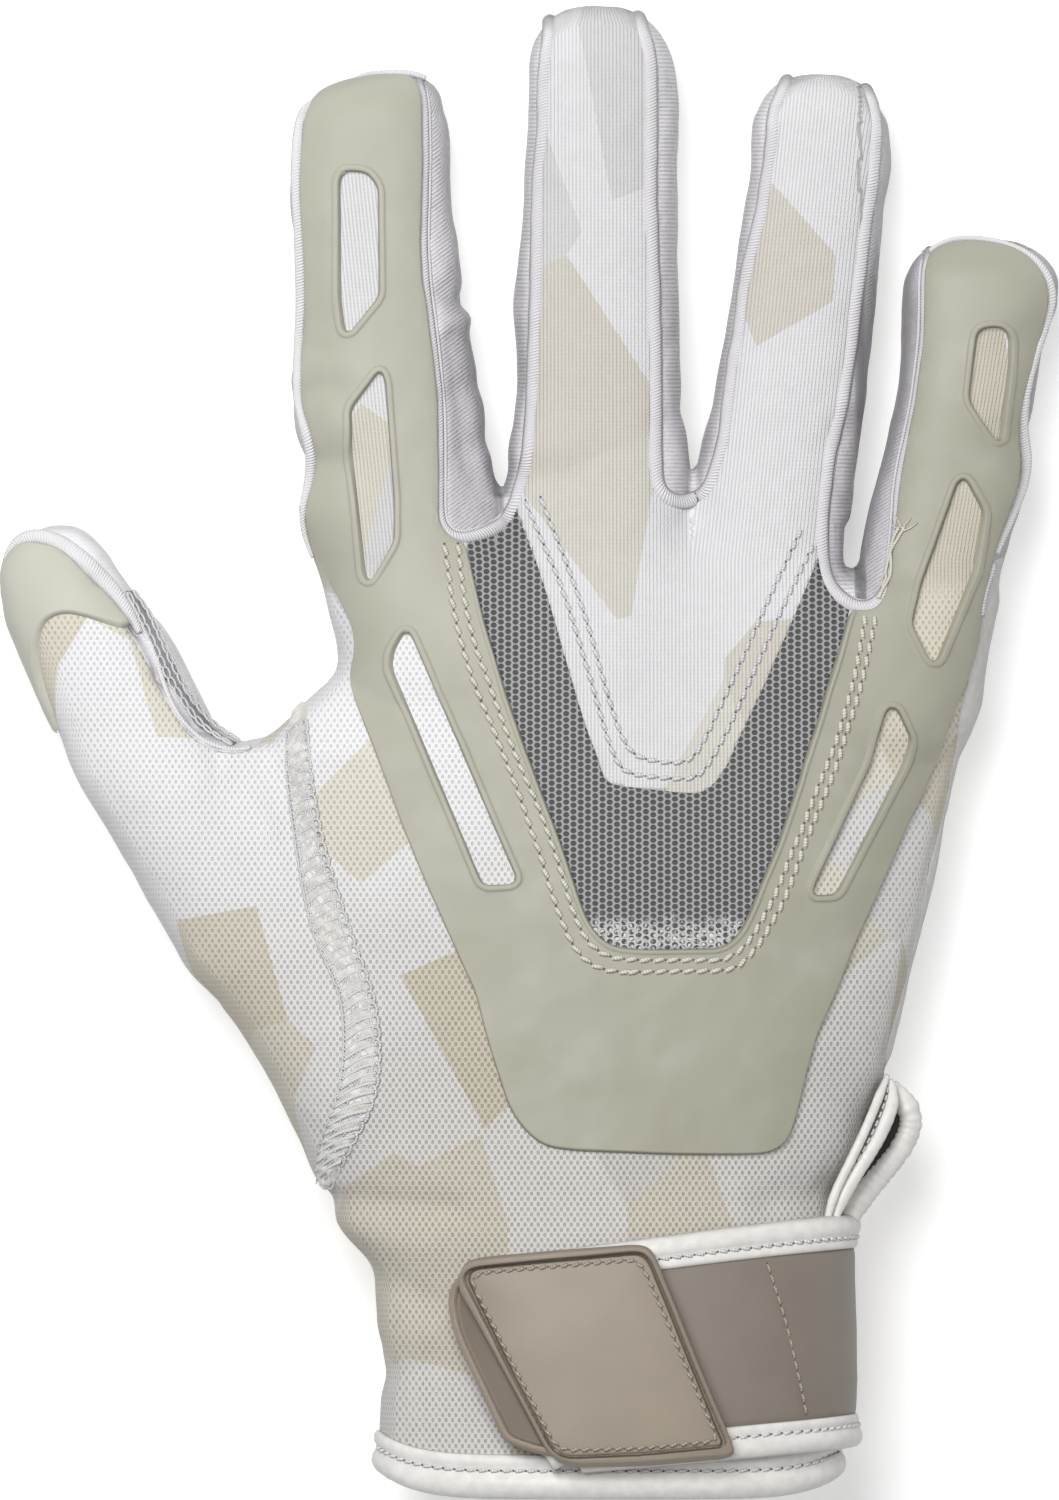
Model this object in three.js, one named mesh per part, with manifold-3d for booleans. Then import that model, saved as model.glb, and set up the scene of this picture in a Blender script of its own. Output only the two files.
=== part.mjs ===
// A right-hand football receiver glove, lying palm down as it would with a hand in it.
// Millimetres, +Z up, fingers along +Y and thumb towards -X. The origin is on the palm's
// resting face, under the middle of the hand.
//
// The glove is a hollow sewn shell. The hand, the four fingers and the thumb are lofted through
// tables of sections, joined, and hollowed by the same lofts taken in by the cloth's thickness.
// The shell is then cut along the real seams into a palm, a back, a thumb wrap, a knuckle panel,
// a vent mesh and the finger side strips. A rubber overlay, a flat seam tape, a wrist strap with
// a moulded pull tab and leather bindings lie over it.

import * as THREE from 'three';
import { mergeVertices } from 'three/addons/utils/BufferGeometryUtils.js';
import Module from 'manifold-3d';

const wasm = await Module();
wasm.setup();

// Driving sizes of the hand, from the hem to the knuckle line

const handLength = 135;
const handWidth = 98;
const handThickness = 41;
const hemPlace = -89;

// Walls, layers and clearances

const clothWall = 1.4;
const seamGap = 0.3;
const overlayThickness = 1.1;
const tapeThickness = 1.2;
const palmSeamHeight = 6;
const ulnarWrapHeight = 15;

// Strap, bindings and pull tab

const strapWidth = 34.5;
const strapThickness = 1.5;
const edgingWidth = 4.6;
const edgingThickness = 2.1;
const hemBindingWidth = 6;
const hemBindingThickness = 0.7;
const tabThickness = 1.8;
const tabRimWidth = 2.2;
const tabRecess = 0.7;
const wingThickness = 1.4;

// The vent slit up the little finger's side of the wrist

const slitWidth = 2.4;
const ventWidth = 13;
const pipingWidth = 3;

// Numbers of facets

const handSides = 24;
const fingerSides = 10;

// Lofted forms. Each row is a section: along is its share of the form's length, left and right
// are shares of its width on either side of its axis, low and high are shares of its thickness.

const hand = {
  x: 0, y: hemPlace, lean: 0, turn: 0, sides: handSides,
  length: handLength, width: handWidth, thickness: handThickness,
  topPower: 2.5, basePower: 3.4, waist: 0.42, throughRoot: true,
  rows: [
    { along: 0.0, left: -0.365, right: 0.324, low: 0.102, high: 1.0 },
    { along: 0.14, left: -0.371, right: 0.328, low: 0.102, high: 0.99 },
    { along: 0.225, left: -0.386, right: 0.329, low: 0.102, high: 0.965 },
    { along: 0.31, left: -0.444, right: 0.341, low: 0.05, high: 0.93 },
    { along: 0.38, left: -0.475, right: 0.362, low: -0.02, high: 0.905 },
    { along: 0.47, left: -0.52, right: 0.41, low: -0.02, high: 0.87 },
    { along: 0.565, left: -0.53, right: 0.451, low: -0.02, high: 0.83 },
    { along: 0.66, left: -0.56, right: 0.484, low: -0.02, high: 0.79 },
    { along: 0.77, left: -0.59, right: 0.522, low: -0.02, high: 0.745 },
    { along: 0.825, left: -0.59, right: 0.536, low: -0.02, high: 0.725 },
    { along: 0.862, left: -0.515, right: 0.547, low: -0.02, high: 0.71 },
    { along: 0.9, left: -0.45, right: 0.557, low: -0.02, high: 0.69 },
    { along: 0.95, left: -0.43, right: 0.565, low: -0.02, high: 0.66 },
    { along: 1.015, left: -0.41, right: 0.56, low: 0.0, high: 0.45 },
  ],
};

// The fingers' roots are shares of the hand's width and length. Lean shifts a finger's axis
// sideways and leaves its sections square to the hand; turn swings the whole form.

const onHandX = (across) => across * handWidth;
const onHandY = (along) => hemPlace + along * handLength;

const finger = (sizes, rows) => ({
  lean: 0, turn: 0, sides: fingerSides, topPower: 2.3, basePower: 2.7, waist: 0.45, ...sizes, rows,
});

const index = finger(
  { x: onHandX(-0.271), y: onHandY(0.952), lean: -7,
    length: handLength * 0.6444, width: handWidth * 0.2551, thickness: handThickness * 0.5122,
    seamLeft: handWidth * 0.0143, seamRight: handWidth * 0.049 },
  [
    { along: 0.0, left: -0.62, right: 0.58, low: -0.04, high: 1.16 },
    { along: 0.166, left: -0.74, right: 0.5, low: -0.04, high: 1.04 },
    { along: 0.306, left: -0.72, right: 0.42, low: -0.04, high: 0.97 },
    { along: 0.446, left: -0.75, right: 0.4, low: -0.04, high: 0.93 },
    { along: 0.516, left: -0.69, right: 0.4, low: -0.04, high: 0.92 },
    { along: 0.69, left: -0.64, right: 0.39, low: -0.04, high: 0.86 },
    { along: 0.857, left: -0.59, right: 0.4, low: -0.04, high: 0.76 },
    { along: 0.93, left: -0.48, right: 0.4, low: -0.02, high: 0.64 },
    { along: 0.975, left: -0.28, right: 0.36, low: 0.06, high: 0.5 },
    { along: 0.998, left: 0.05, right: 0.27, low: 0.24, high: 0.36 },
  ],
);

const middle = finger(
  { x: onHandX(-0.036), y: onHandY(0.952), lean: 0.6,
    length: handLength * 0.7148, width: handWidth * 0.2449, thickness: handThickness * 0.5244,
    seamLeft: handWidth * 0.0224, seamRight: handWidth * 0.0306 },
  [
    { along: 0.0, left: -0.6, right: 0.62, low: -0.04, high: 1.16 },
    { along: 0.126, left: -0.65, right: 0.65, low: -0.04, high: 1.08 },
    { along: 0.23, left: -0.6, right: 0.63, low: -0.04, high: 1.01 },
    { along: 0.31, left: -0.56, right: 0.55, low: -0.04, high: 0.98 },
    { along: 0.48, left: -0.545, right: 0.5, low: -0.04, high: 0.935 },
    { along: 0.717, left: -0.5, right: 0.46, low: -0.04, high: 0.87 },
    { along: 0.89, left: -0.46, right: 0.47, low: -0.04, high: 0.76 },
    { along: 0.945, left: -0.44, right: 0.385, low: -0.02, high: 0.66 },
    { along: 0.982, left: -0.3, right: 0.26, low: 0.08, high: 0.5 },
    { along: 1.0, left: -0.09, right: 0.1, low: 0.24, high: 0.36 },
  ],
);

const ring = finger(
  { x: onHandX(0.212), y: onHandY(0.952), lean: 6.5,
    length: handLength * 0.6393, width: handWidth * 0.2194, thickness: handThickness * 0.5,
    seamLeft: handWidth * 0.0245, seamRight: handWidth * 0.0286 },
  [
    { along: 0.0, left: -0.6, right: 0.68, low: -0.04, high: 1.18 },
    { along: 0.12, left: -0.65, right: 0.66, low: -0.04, high: 1.09 },
    { along: 0.225, left: -0.65, right: 0.56, low: -0.04, high: 1.01 },
    { along: 0.3, left: -0.57, right: 0.555, low: -0.04, high: 0.98 },
    { along: 0.45, left: -0.5, right: 0.575, low: -0.04, high: 0.94 },
    { along: 0.731, left: -0.465, right: 0.557, low: -0.04, high: 0.86 },
    { along: 0.88, left: -0.45, right: 0.545, low: -0.04, high: 0.76 },
    { along: 0.945, left: -0.44, right: 0.44, low: -0.02, high: 0.66 },
    { along: 0.982, left: -0.31, right: 0.28, low: 0.08, high: 0.5 },
    { along: 1.0, left: -0.12, right: 0.106, low: 0.24, high: 0.36 },
  ],
);

const little = finger(
  { x: onHandX(0.442), y: onHandY(0.885), lean: 9.4,
    length: handLength * 0.5215, width: handWidth * 0.2194, thickness: handThickness * 0.4634,
    seamLeft: handWidth * 0.0367, seamRight: handWidth * 0.0265 },
  [
    { along: 0.0, left: -0.5, right: 0.5, low: -0.04, high: 1.26 },
    { along: 0.119, left: -0.54, right: 0.5, low: -0.04, high: 1.17 },
    { along: 0.25, left: -0.55, right: 0.51, low: -0.04, high: 1.07 },
    { along: 0.464, left: -0.5, right: 0.6, low: -0.04, high: 0.98 },
    { along: 0.66, left: -0.425, right: 0.565, low: -0.04, high: 0.935 },
    { along: 0.86, left: -0.47, right: 0.61, low: -0.04, high: 0.82 },
    { along: 0.943, left: -0.46, right: 0.49, low: -0.02, high: 0.7 },
    { along: 0.982, left: -0.34, right: 0.28, low: 0.08, high: 0.52 },
    { along: 1.0, left: -0.16, right: 0.09, low: 0.24, high: 0.36 },
  ],
);

const thumb = finger(
  { x: onHandX(-0.487), y: onHandY(0.512), lean: 28, turn: 28,
    length: handLength * 0.6385, width: handWidth * 0.2245, thickness: handThickness * 0.5366,
    seamLeft: 0, seamRight: handWidth * 0.0469 },
  [
    { along: -0.1, left: -0.27, right: 0.5, low: -0.04, high: 1.22 },
    { along: 0.012, left: -0.31, right: 0.6, low: -0.04, high: 1.24 },
    { along: 0.196, left: -0.56, right: 0.74, low: -0.04, high: 1.18 },
    { along: 0.317, left: -0.575, right: 0.7, low: -0.04, high: 1.12 },
    { along: 0.436, left: -0.565, right: 0.54, low: -0.04, high: 1.04 },
    { along: 0.6, left: -0.6, right: 0.43, low: -0.04, high: 0.945 },
    { along: 0.79, left: -0.53, right: 0.38, low: -0.04, high: 0.85 },
    { along: 0.868, left: -0.51, right: 0.315, low: -0.04, high: 0.78 },
    { along: 0.935, left: -0.435, right: 0.265, low: -0.02, high: 0.68 },
    { along: 0.978, left: -0.29, right: 0.16, low: 0.08, high: 0.52 },
    { along: 1.0, left: -0.09, right: -0.01, low: 0.24, high: 0.36 },
  ],
);

const forms = [hand, index, middle, ring, little, thumb];

// Places on a form

const radians = THREE.MathUtils.degToRad;

function place(form, along, acrossMm) {
  const lean = radians(form.lean);
  const turn = radians(form.turn);
  const reach = along * form.length;
  const axisX = form.lean === form.turn ? -Math.sin(turn) * reach : Math.tan(lean) * reach;
  const axisY = form.lean === form.turn ? Math.cos(turn) * reach : reach;
  return new THREE.Vector2(
    form.x + axisX + Math.cos(turn) * acrossMm,
    form.y + axisY + Math.sin(turn) * acrossMm,
  );
}

const onForm = (form, along, across) => place(form, along, across * form.width);
const onHand = (along, across) => onForm(hand, along, across);

// Solids from meshes

function solidOf(geometry) {
  geometry.deleteAttribute('normal');
  geometry.deleteAttribute('uv');
  const merged = mergeVertices(geometry, 1e-5);
  return new wasm.Manifold(new wasm.Mesh({
    numProp: 3,
    vertProperties: new Float32Array(merged.attributes.position.array),
    triVerts: new Uint32Array(merged.index.array),
  }));
}

function prism(points, low, high) {
  const geometry = new THREE.ExtrudeGeometry(new THREE.Shape(points), {
    depth: high - low, bevelEnabled: false,
  });
  geometry.translate(0, 0, low);
  return solidOf(geometry);
}

function slab(low, high) {
  const reach = 3 * handLength;
  const corners = [[-reach, -reach], [reach, -reach], [reach, reach], [-reach, reach]];
  return prism(corners.map(([x, y]) => new THREE.Vector2(x, y)), low, high);
}

const joined = (solids) => solids.reduce((whole, next) => whole.add(next));

// A lofted form, grown outwards by the given offset or taken in when it is negative. The hand's
// form runs on past the hem by the overshoot, so that the wrist is cut off open.

const overshoot = 8;

function loft(form, offset) {
  const positions = [];
  const faces = [];
  const last = form.rows.length - 1;
  form.rows.forEach((row, level) => {
    const ends = { 0: -1, [last]: 1 };
    let shift = (ends[level] ?? 0) * offset;
    if (form.throughRoot && level === 0) shift = -overshoot;
    const along = row.along + shift / form.length;
    const half = Math.max(((row.right - row.left) * form.width) / 2 + offset, 0.3);
    const middleMm = ((row.right + row.left) * form.width) / 2;
    const low = row.low * form.thickness - offset;
    const high = Math.max(row.high * form.thickness + offset, low + 0.6);
    const waist = low + form.waist * (high - low);
    for (let side = 0; side < form.sides; side += 1) {
      const angle = (2 * Math.PI * (side + 0.5)) / form.sides;
      const power = 2 / (Math.sin(angle) > 0 ? form.topPower : form.basePower);
      const across = Math.sign(Math.cos(angle)) * Math.abs(Math.cos(angle)) ** power;
      const rise = Math.abs(Math.sin(angle)) ** power;
      const spot = place(form, along, middleMm + half * across);
      const height = Math.sin(angle) > 0 ? waist + (high - waist) * rise : waist - (waist - low) * rise;
      positions.push(spot.x, spot.y, height);
    }
  });
  for (let level = 0; level < last; level += 1) {
    for (let side = 0; side < form.sides; side += 1) {
      const next = (side + 1) % form.sides;
      const a = level * form.sides + side;
      const b = level * form.sides + next;
      faces.push(a, b, b + form.sides, a, b + form.sides, a + form.sides);
    }
  }
  const start = last * form.sides;
  for (let side = 1; side < form.sides - 1; side += 1) {
    faces.push(0, side + 1, side);
    faces.push(start, start + side, start + side + 1);
  }
  // The rings run anticlockwise seen from the hem, so the faces are turned to point outwards.
  for (let at = 0; at < faces.length; at += 3) {
    [faces[at + 1], faces[at + 2]] = [faces[at + 2], faces[at + 1]];
  }
  const geometry = new THREE.BufferGeometry();
  geometry.setAttribute('position', new THREE.Float32BufferAttribute(positions, 3));
  geometry.setIndex(faces);
  return solidOf(geometry);
}

const bodies = new Map();

function body(offset) {
  if (!bodies.has(offset)) {
    const whole = joined(forms.map((form) => loft(form, offset)));
    bodies.set(offset, whole.intersect(slab(-Math.min(offset, 0), 4 * handThickness)));
  }
  return bodies.get(offset);
}

// A layer that follows the glove's surface between two offsets

const layer = (inner, outer) => body(outer).subtract(body(inner));

// Outlines in plan

const tall = 4 * handThickness;

const handOutline = (rows) => rows.map(([along, across]) => onHand(along, across));

function offsetOutline(points, distance) {
  const outward = THREE.ShapeUtils.isClockWise(points) ? -distance : distance;
  return points.map((point, at) => {
    const before = points[(at + points.length - 1) % points.length];
    const after = points[(at + 1) % points.length];
    const first = point.clone().sub(before).normalize();
    const second = after.clone().sub(point).normalize();
    const way = first.clone().add(second).normalize();
    const stretch = outward / Math.max(way.dot(first), 0.5);
    return new THREE.Vector2(point.x + way.y * stretch, point.y - way.x * stretch);
  });
}

const cutter = (outline, gap = 0, low = -1, high = tall) => prism(offsetOutline(outline, gap), low, high);

function band(from, to) {
  const reach = 2 * handWidth;
  return prism([
    new THREE.Vector2(-reach, from), new THREE.Vector2(reach, from),
    new THREE.Vector2(reach, to), new THREE.Vector2(-reach, to),
  ], -1, tall);
}

// The top of a finger between its two long seams

function fingerTop(form, gap) {
  const wide = form.rows.filter((row) => row.along < 0.93);
  const past = 1 + 12 / form.length;
  const edge = (side, inset) => {
    const points = wide.map((row) => place(form, row.along, row[side] * form.width + inset));
    points.push(place(form, past, wide[wide.length - 1][side] * form.width + inset));
    return points;
  };
  const left = edge('left', form.seamLeft - gap);
  const right = edge('right', gap - form.seamRight);
  return [...right, ...left.reverse()];
}

// The side strips of the fingers. Each one's region runs from one finger's axis to the next
// one's, and down to the bottom of the loop that the strip makes at the web.

const sideStrips = [
  { name: 'side_strip_index_outer', to: index, foot: [[1.12, -0.75], [1.12, -0.3]] },
  { name: 'side_strip_index_middle', from: index, to: middle,
    foot: [[1.08, -0.32], [1.068, -0.28], [1.066, -0.23], [1.085, -0.18], [1.11, -0.155]] },
  { name: 'side_strip_middle_ring', from: middle, to: ring,
    foot: [[1.12, 0.06], [1.107, 0.085], [1.107, 0.12], [1.12, 0.145]] },
  { name: 'side_strip_ring_little', from: ring, to: little,
    foot: [[1.03, 0.31], [0.995, 0.335], [0.99, 0.4], [1.01, 0.43]] },
  { name: 'side_strip_little_outer', from: little, foot: [[1.06, 0.5], [1.06, 0.8]] },
];
const beyondTip = 1.15;

function stripRegion(strip, gap) {
  const rightTip = strip.to ? onForm(strip.to, beyondTip, 0) : onHand(1.7, 0.9);
  const leftTip = strip.from ? onForm(strip.from, beyondTip, 0) : onHand(1.7, -0.8);
  const foot = handOutline(strip.foot).map((point) => point.setY(point.y - gap));
  const neighbours = [strip.from, strip.to].filter(Boolean);
  const tops = neighbours.map((form) => cutter(fingerTop(form, -gap), 0, -2, tall + 1));
  return prism([...foot, rightTip, leftTip], -1, tall).subtract(joined(tops));
}

// The flat seam tape round the thumb's wrap, by its middle line

const tapeWidth = 5.6;
const tapeLine = handOutline([
  [0.873, -0.499], [0.811, -0.504], [0.732, -0.485], [0.631, -0.45], [0.558, -0.419],
  [0.502, -0.403], [0.445, -0.409], [0.383, -0.439], [0.344, -0.463],
]);

function ribbon(line, width) {
  const sides = [0.5, -0.5].map((side) => line.map((point, at) => {
    const before = line[Math.max(at - 1, 0)];
    const after = line[Math.min(at + 1, line.length - 1)];
    const way = after.clone().sub(before).setLength(width * side);
    return new THREE.Vector2(point.x - way.y, point.y + way.x);
  }));
  return [...sides[0], ...sides[1].reverse()];
}

const thumbSide = [
  onHand(1.15, -0.49), ...tapeLine, ...handOutline([[0.3, -0.48], [0.3, -1.5], [1.3, -1.5], [1.3, -0.75]]),
];
const thumbStripOutline = [
  [1.1, 0.1], [0.973, 0.158], [0.84, 0.179], [0.764, 0.239], [0.647, 0.246], [0.537, 0.291],
  [0.48, 0.486], [0.47, 0.8], [0.55, 1.1], [1.1, 0.9],
].map(([along, across]) => onForm(thumb, along, across));

// The knuckle panel, and the vent mesh that shows as a V round it

const knuckleOutline = handOutline([
  [1.8, -0.25], [1.11, -0.166], [0.845, -0.05], [0.797, -0.028], [0.788, -0.003], [0.779, 0.109],
  [0.789, 0.143], [0.8, 0.158], [1.056, 0.313], [1.1, 0.335], [1.8, 0.62],
]);
const meshOutline = handOutline([
  [1.12, -0.255], [1.065, -0.239], [0.969, -0.209], [0.755, -0.109], [0.631, -0.047], [0.606, -0.012],
  [0.605, 0.155], [0.618, 0.178], [0.716, 0.24], [0.929, 0.333], [1.06, 0.38],
]);

// The rubber overlay's plate on the hand, and its windows

const plateOutline = handOutline([
  [1.12, -0.282], [1.11, -0.492], [1.02, -0.45], [0.946, -0.408], [0.907, -0.419], [0.732, -0.333],
  [0.614, -0.264], [0.541, -0.22], [0.428, -0.174], [0.392, -0.136], [0.379, -0.093], [0.376, 0.233],
  [0.395, 0.261], [0.485, 0.292], [0.58, 0.341], [0.806, 0.481], [0.901, 0.53], [1.053, 0.574],
  [1.104, 0.602], [1.08, 0.45], [1.0, 0.37], [0.99, 0.3], [1.0, -0.2], [1.065, -0.239],
]);
const windows = [
  { on: index, outline: [[0.804, -0.339], [0.83, -0.255], [0.825, -0.117], [0.795, -0.045],
    [0.608, -0.125], [0.533, -0.352], [0.533, -0.406], [0.594, -0.417]] },
  { on: index, outline: [[0.479, -0.204], [0.463, -0.175], [0.166, -0.235], [0.091, -0.419],
    [0.1, -0.452], [0.349, -0.46], [0.411, -0.434]] },
  { on: hand, outline: [[0.963, -0.344], [0.97, -0.329], [0.682, -0.158], [0.674, -0.164],
    [0.671, -0.217], [0.92, -0.363], [0.941, -0.36]] },
  { on: little, outline: [[0.802, 0.046], [0.819, 0.192], [0.793, 0.341], [0.722, 0.365],
    [0.547, 0.389], [0.547, 0.319], [0.657, 0.061]] },
  { on: little, outline: [[0.485, 0.105], [0.485, 0.162], [0.398, 0.371], [0.269, 0.349],
    [0.07, 0.188], [0.075, 0.115], [0.167, -0.091], [0.236, -0.057]] },
  { on: hand, outline: [[0.881, 0.411], [0.881, 0.427], [0.842, 0.458], [0.806, 0.442],
    [0.659, 0.338], [0.664, 0.288], [0.673, 0.288], [0.811, 0.38]] },
].map(({ on, outline }) => outline.map(([along, across]) => onForm(on, along, across)));

// The rubber cap on the thumb's tip

const capOutline = [
  [1.1, -0.2], [0.983, -0.11], [0.955, 0.026], [0.873, 0.129], [0.77, 0.252], [0.814, 0.046],
  [0.848, -0.117], [0.845, -0.257], [0.795, -0.401], [0.662, -0.522], [0.66, -0.9], [1.1, -0.9],
].map(([along, across]) => onForm(thumb, along, across));

// The slit up the little finger's side of the wrist, seen from that side: it widens into a vent

const slitHeight = 0.43 * handThickness;
const slitOutline = [
  [-0.1, 0.5, 0], [0.3, 0.5, 0], [0.34, 0, 0.5], [0.41, 0, 0.5], [0.462, 0, 0.1],
  [0.462, 0, -0.1], [0.41, 0, -0.5], [0.34, 0, -0.5], [0.3, -0.5, 0], [-0.1, -0.5, 0],
].map(([along, slit, vent]) => new THREE.Vector2(
  onHandY(along), slitHeight + slit * slitWidth + vent * ventWidth,
));
const seenFromSide = new THREE.Matrix4().makeBasis(
  new THREE.Vector3(0, 1, 0), new THREE.Vector3(0, 0, 1), new THREE.Vector3(1, 0, 0),
);

// How far the piping's loop stands off the wrist, in plan

const pipingOutline = handOutline([
  [0.478, 0.2], [0.47, 0.42], [0.434, 0.447], [0.401, 0.47], [0.369, 0.447], [0.329, 0.402],
  [0.29, 0.375], [0.29, 0.2],
]);

function sideCutter(outline, gap) {
  const geometry = new THREE.ExtrudeGeometry(new THREE.Shape(offsetOutline(outline, gap)), {
    depth: handWidth, bevelEnabled: false,
  });
  return solidOf(geometry.applyMatrix4(seenFromSide));
}

// The strap starts under the wrist, goes round the little finger's side and ends on the back

const strapFoot = 0.044;
const strapRise = 0.07;
const strapRight = 0.36;
const underEnd = -0.05;

function strapPoint(across, upMm) {
  return onHand(strapFoot + strapRise * (across - strapRight) + upMm / handLength, across);
}

function strapRegion(from, to) {
  const split = slitHeight - slitWidth;
  const endAcross = (up) => THREE.MathUtils.lerp(-0.12, -0.24, up / strapWidth);
  const over = [
    strapPoint(0.7, from),
    strapPoint(0.7, to),
    strapPoint(endAcross(to), to),
    strapPoint(endAcross(from), from),
  ];
  const under = [
    strapPoint(0.7, from), strapPoint(0.7, to), strapPoint(underEnd, to), strapPoint(underEnd, from),
  ];
  return prism(over, split, tall).add(prism(under, -1, split));
}

// The pull tab's plate, its sunk panel, and the lower wing along its free edge

const tabOutline = handOutline([
  [0.22, -0.248], [0.26, -0.244], [0.27, 0.04], [0.035, 0.174], [0.025, -0.093], [0.139, -0.186],
]);
const wingOutline = handOutline([
  [0.264, -0.15], [0.253, -0.254], [0.196, -0.267], [0.06, -0.186], [0.038, -0.155], [0.03, -0.09],
]);

// Cutting the shell into its panels

const shell = layer(-clothWall, 0).intersect(band(hemPlace, 3 * handLength))
  .subtract(sideCutter(slitOutline, 0));
const ulnarSide = (gap) => cutter(
  handOutline([[0.42, 0.25], [0.42, 0.9], [1.05, 0.9], [1.06, 0.5], [0.9, 0.3]]),
  gap,
  -1,
  ulnarWrapHeight + gap,
).add(cutter(
  handOutline([[-0.1, 0.05], [-0.1, 0.9], [0.45, 0.9], [0.45, 0.05]]), gap, -1, slitHeight,
));

const upper = shell.intersect(slab(palmSeamHeight + seamGap, tall)).subtract(ulnarSide(seamGap));
const strips = joined(sideStrips.map((strip) => stripRegion(strip, seamGap)));
const dorsal = upper.subtract(strips).subtract(cutter(thumbStripOutline, seamGap));

const pieces = {
  palm: shell.intersect(slab(-1, palmSeamHeight).add(ulnarSide(0))),
  thumb_side_strip: upper.intersect(cutter(thumbStripOutline)),
  knuckle_panel: dorsal.intersect(cutter(knuckleOutline)),
  vent_mesh: dorsal.intersect(cutter(meshOutline)).subtract(cutter(knuckleOutline, seamGap)),
  thumb_wrap: dorsal.intersect(cutter(thumbSide, -seamGap / 2)),
  back_panel: dorsal.subtract(cutter(thumbSide, seamGap / 2)).subtract(cutter(knuckleOutline, seamGap))
    .subtract(cutter(meshOutline, seamGap)),
};
for (const strip of sideStrips) {
  pieces[strip.name] = upper.intersect(stripRegion(strip, 0));
}

// Layers over the shell

const overlayRegion = joined([
  cutter(fingerTop(index, 0.4), 0, palmSeamHeight + 2),
  cutter(fingerTop(little, 0.4), 0, palmSeamHeight + 2),
  cutter(plateOutline, 0, ulnarWrapHeight),
]);
pieces.rubber_overlay = layer(seamGap, seamGap + overlayThickness)
  .intersect(overlayRegion)
  .subtract(joined(windows.map((outline) => cutter(outline))))
  .subtract(cutter(meshOutline)).subtract(cutter(knuckleOutline, seamGap)).subtract(strips);
pieces.thumb_cap = layer(seamGap, seamGap + overlayThickness)
  .intersect(cutter(capOutline, 0, palmSeamHeight + 2))
  .subtract(cutter(thumbStripOutline, seamGap));
pieces.seam_tape = layer(seamGap, seamGap + tapeThickness)
  .intersect(cutter(ribbon(tapeLine, tapeWidth), 0, palmSeamHeight))
  .subtract(overlayRegion);

// The hem's binding is folded round the wrist's edge.

const hemFace = hemPlace - seamGap - hemBindingThickness;
pieces.hem_binding = layer(-clothWall - seamGap - hemBindingThickness, seamGap + hemBindingThickness)
  .intersect(band(hemFace, hemFace + hemBindingWidth))
  .subtract(layer(-clothWall - seamGap, seamGap).intersect(band(hemPlace - seamGap, 0)))
  .subtract(sideCutter(slitOutline, 0));

// Strap, edgings and tab

const edgingInner = 2 * seamGap + hemBindingThickness;
const strapInner = edgingInner + (edgingThickness - strapThickness) / 2;
pieces.strap = layer(strapInner, strapInner + strapThickness)
  .intersect(strapRegion(edgingWidth + seamGap, strapWidth - edgingWidth - seamGap));
pieces.strap_edging_lower = layer(edgingInner, edgingInner + edgingThickness)
  .intersect(strapRegion(0, edgingWidth));
pieces.strap_edging_upper = layer(edgingInner, edgingInner + edgingThickness)
  .intersect(strapRegion(strapWidth - edgingWidth, strapWidth));

const tabInner = edgingInner + edgingThickness + seamGap;
const tabPlate = layer(tabInner, tabInner + tabThickness).intersect(cutter(tabOutline, 0, slitHeight));
const tabSink = layer(tabInner + tabThickness - tabRecess, tabInner + tabThickness + 2)
  .intersect(cutter(tabOutline, -tabRimWidth, slitHeight));
const wing = layer(tabInner, tabInner + wingThickness).intersect(cutter(wingOutline, 0, slitHeight));
pieces.pull_tab = tabPlate.subtract(tabSink).add(wing);

pieces.vent_piping = sideCutter(slitOutline, pipingWidth).subtract(sideCutter(slitOutline, 0))
  .intersect(cutter(pipingOutline)).subtract(body(seamGap))
  .intersect(band(strapPoint(0.7, strapWidth).y + seamGap, handLength));

// Looks

const whiteLeather = { color: 0xe4e1dc, roughness: 0.5, metalness: 0 };
const knit = { color: 0xe6e6e8, roughness: 0.9, metalness: 0 };
const patternKnit = { color: 0xe1dcd0, roughness: 0.9, metalness: 0 };
const openMesh = { color: 0x77787a, roughness: 0.85, metalness: 0 };
const satin = { color: 0xdcd7e0, roughness: 0.55, metalness: 0 };
const sageRubber = { color: 0xbcbda9, roughness: 0.5, metalness: 0 };
const taupe = { color: 0x9f9484, roughness: 0.55, metalness: 0 };

const looks = {
  palm: whiteLeather,
  back_panel: patternKnit,
  knuckle_panel: knit,
  vent_mesh: openMesh,
  thumb_wrap: patternKnit,
  thumb_side_strip: satin,
  ...Object.fromEntries(sideStrips.map(({ name }) => [name, satin])),
  rubber_overlay: sageRubber,
  thumb_cap: sageRubber,
  seam_tape: knit,
  hem_binding: whiteLeather,
  vent_piping: whiteLeather,
  strap: taupe,
  strap_edging_lower: whiteLeather,
  strap_edging_upper: whiteLeather,
  pull_tab: taupe,
};

// A seam can cut a sliver off beside a panel: each piece is its one main body.

function mainBody(solid) {
  return solid.decompose().reduce((most, next) => (next.volume() > most.volume() ? next : most));
}

function meshOf(name, solid, look) {
  const { vertProperties, triVerts } = mainBody(solid).getMesh();
  const geometry = new THREE.BufferGeometry();
  geometry.setAttribute('position', new THREE.Float32BufferAttribute(vertProperties, 3));
  geometry.setIndex([...triVerts]);
  geometry.computeVertexNormals();
  const mesh = new THREE.Mesh(geometry, new THREE.MeshStandardMaterial(look));
  mesh.name = name;
  return mesh;
}

const glove = new THREE.Group();
for (const [name, look] of Object.entries(looks)) {
  glove.add(meshOf(name, pieces[name], look));
}

export default glove;
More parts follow.
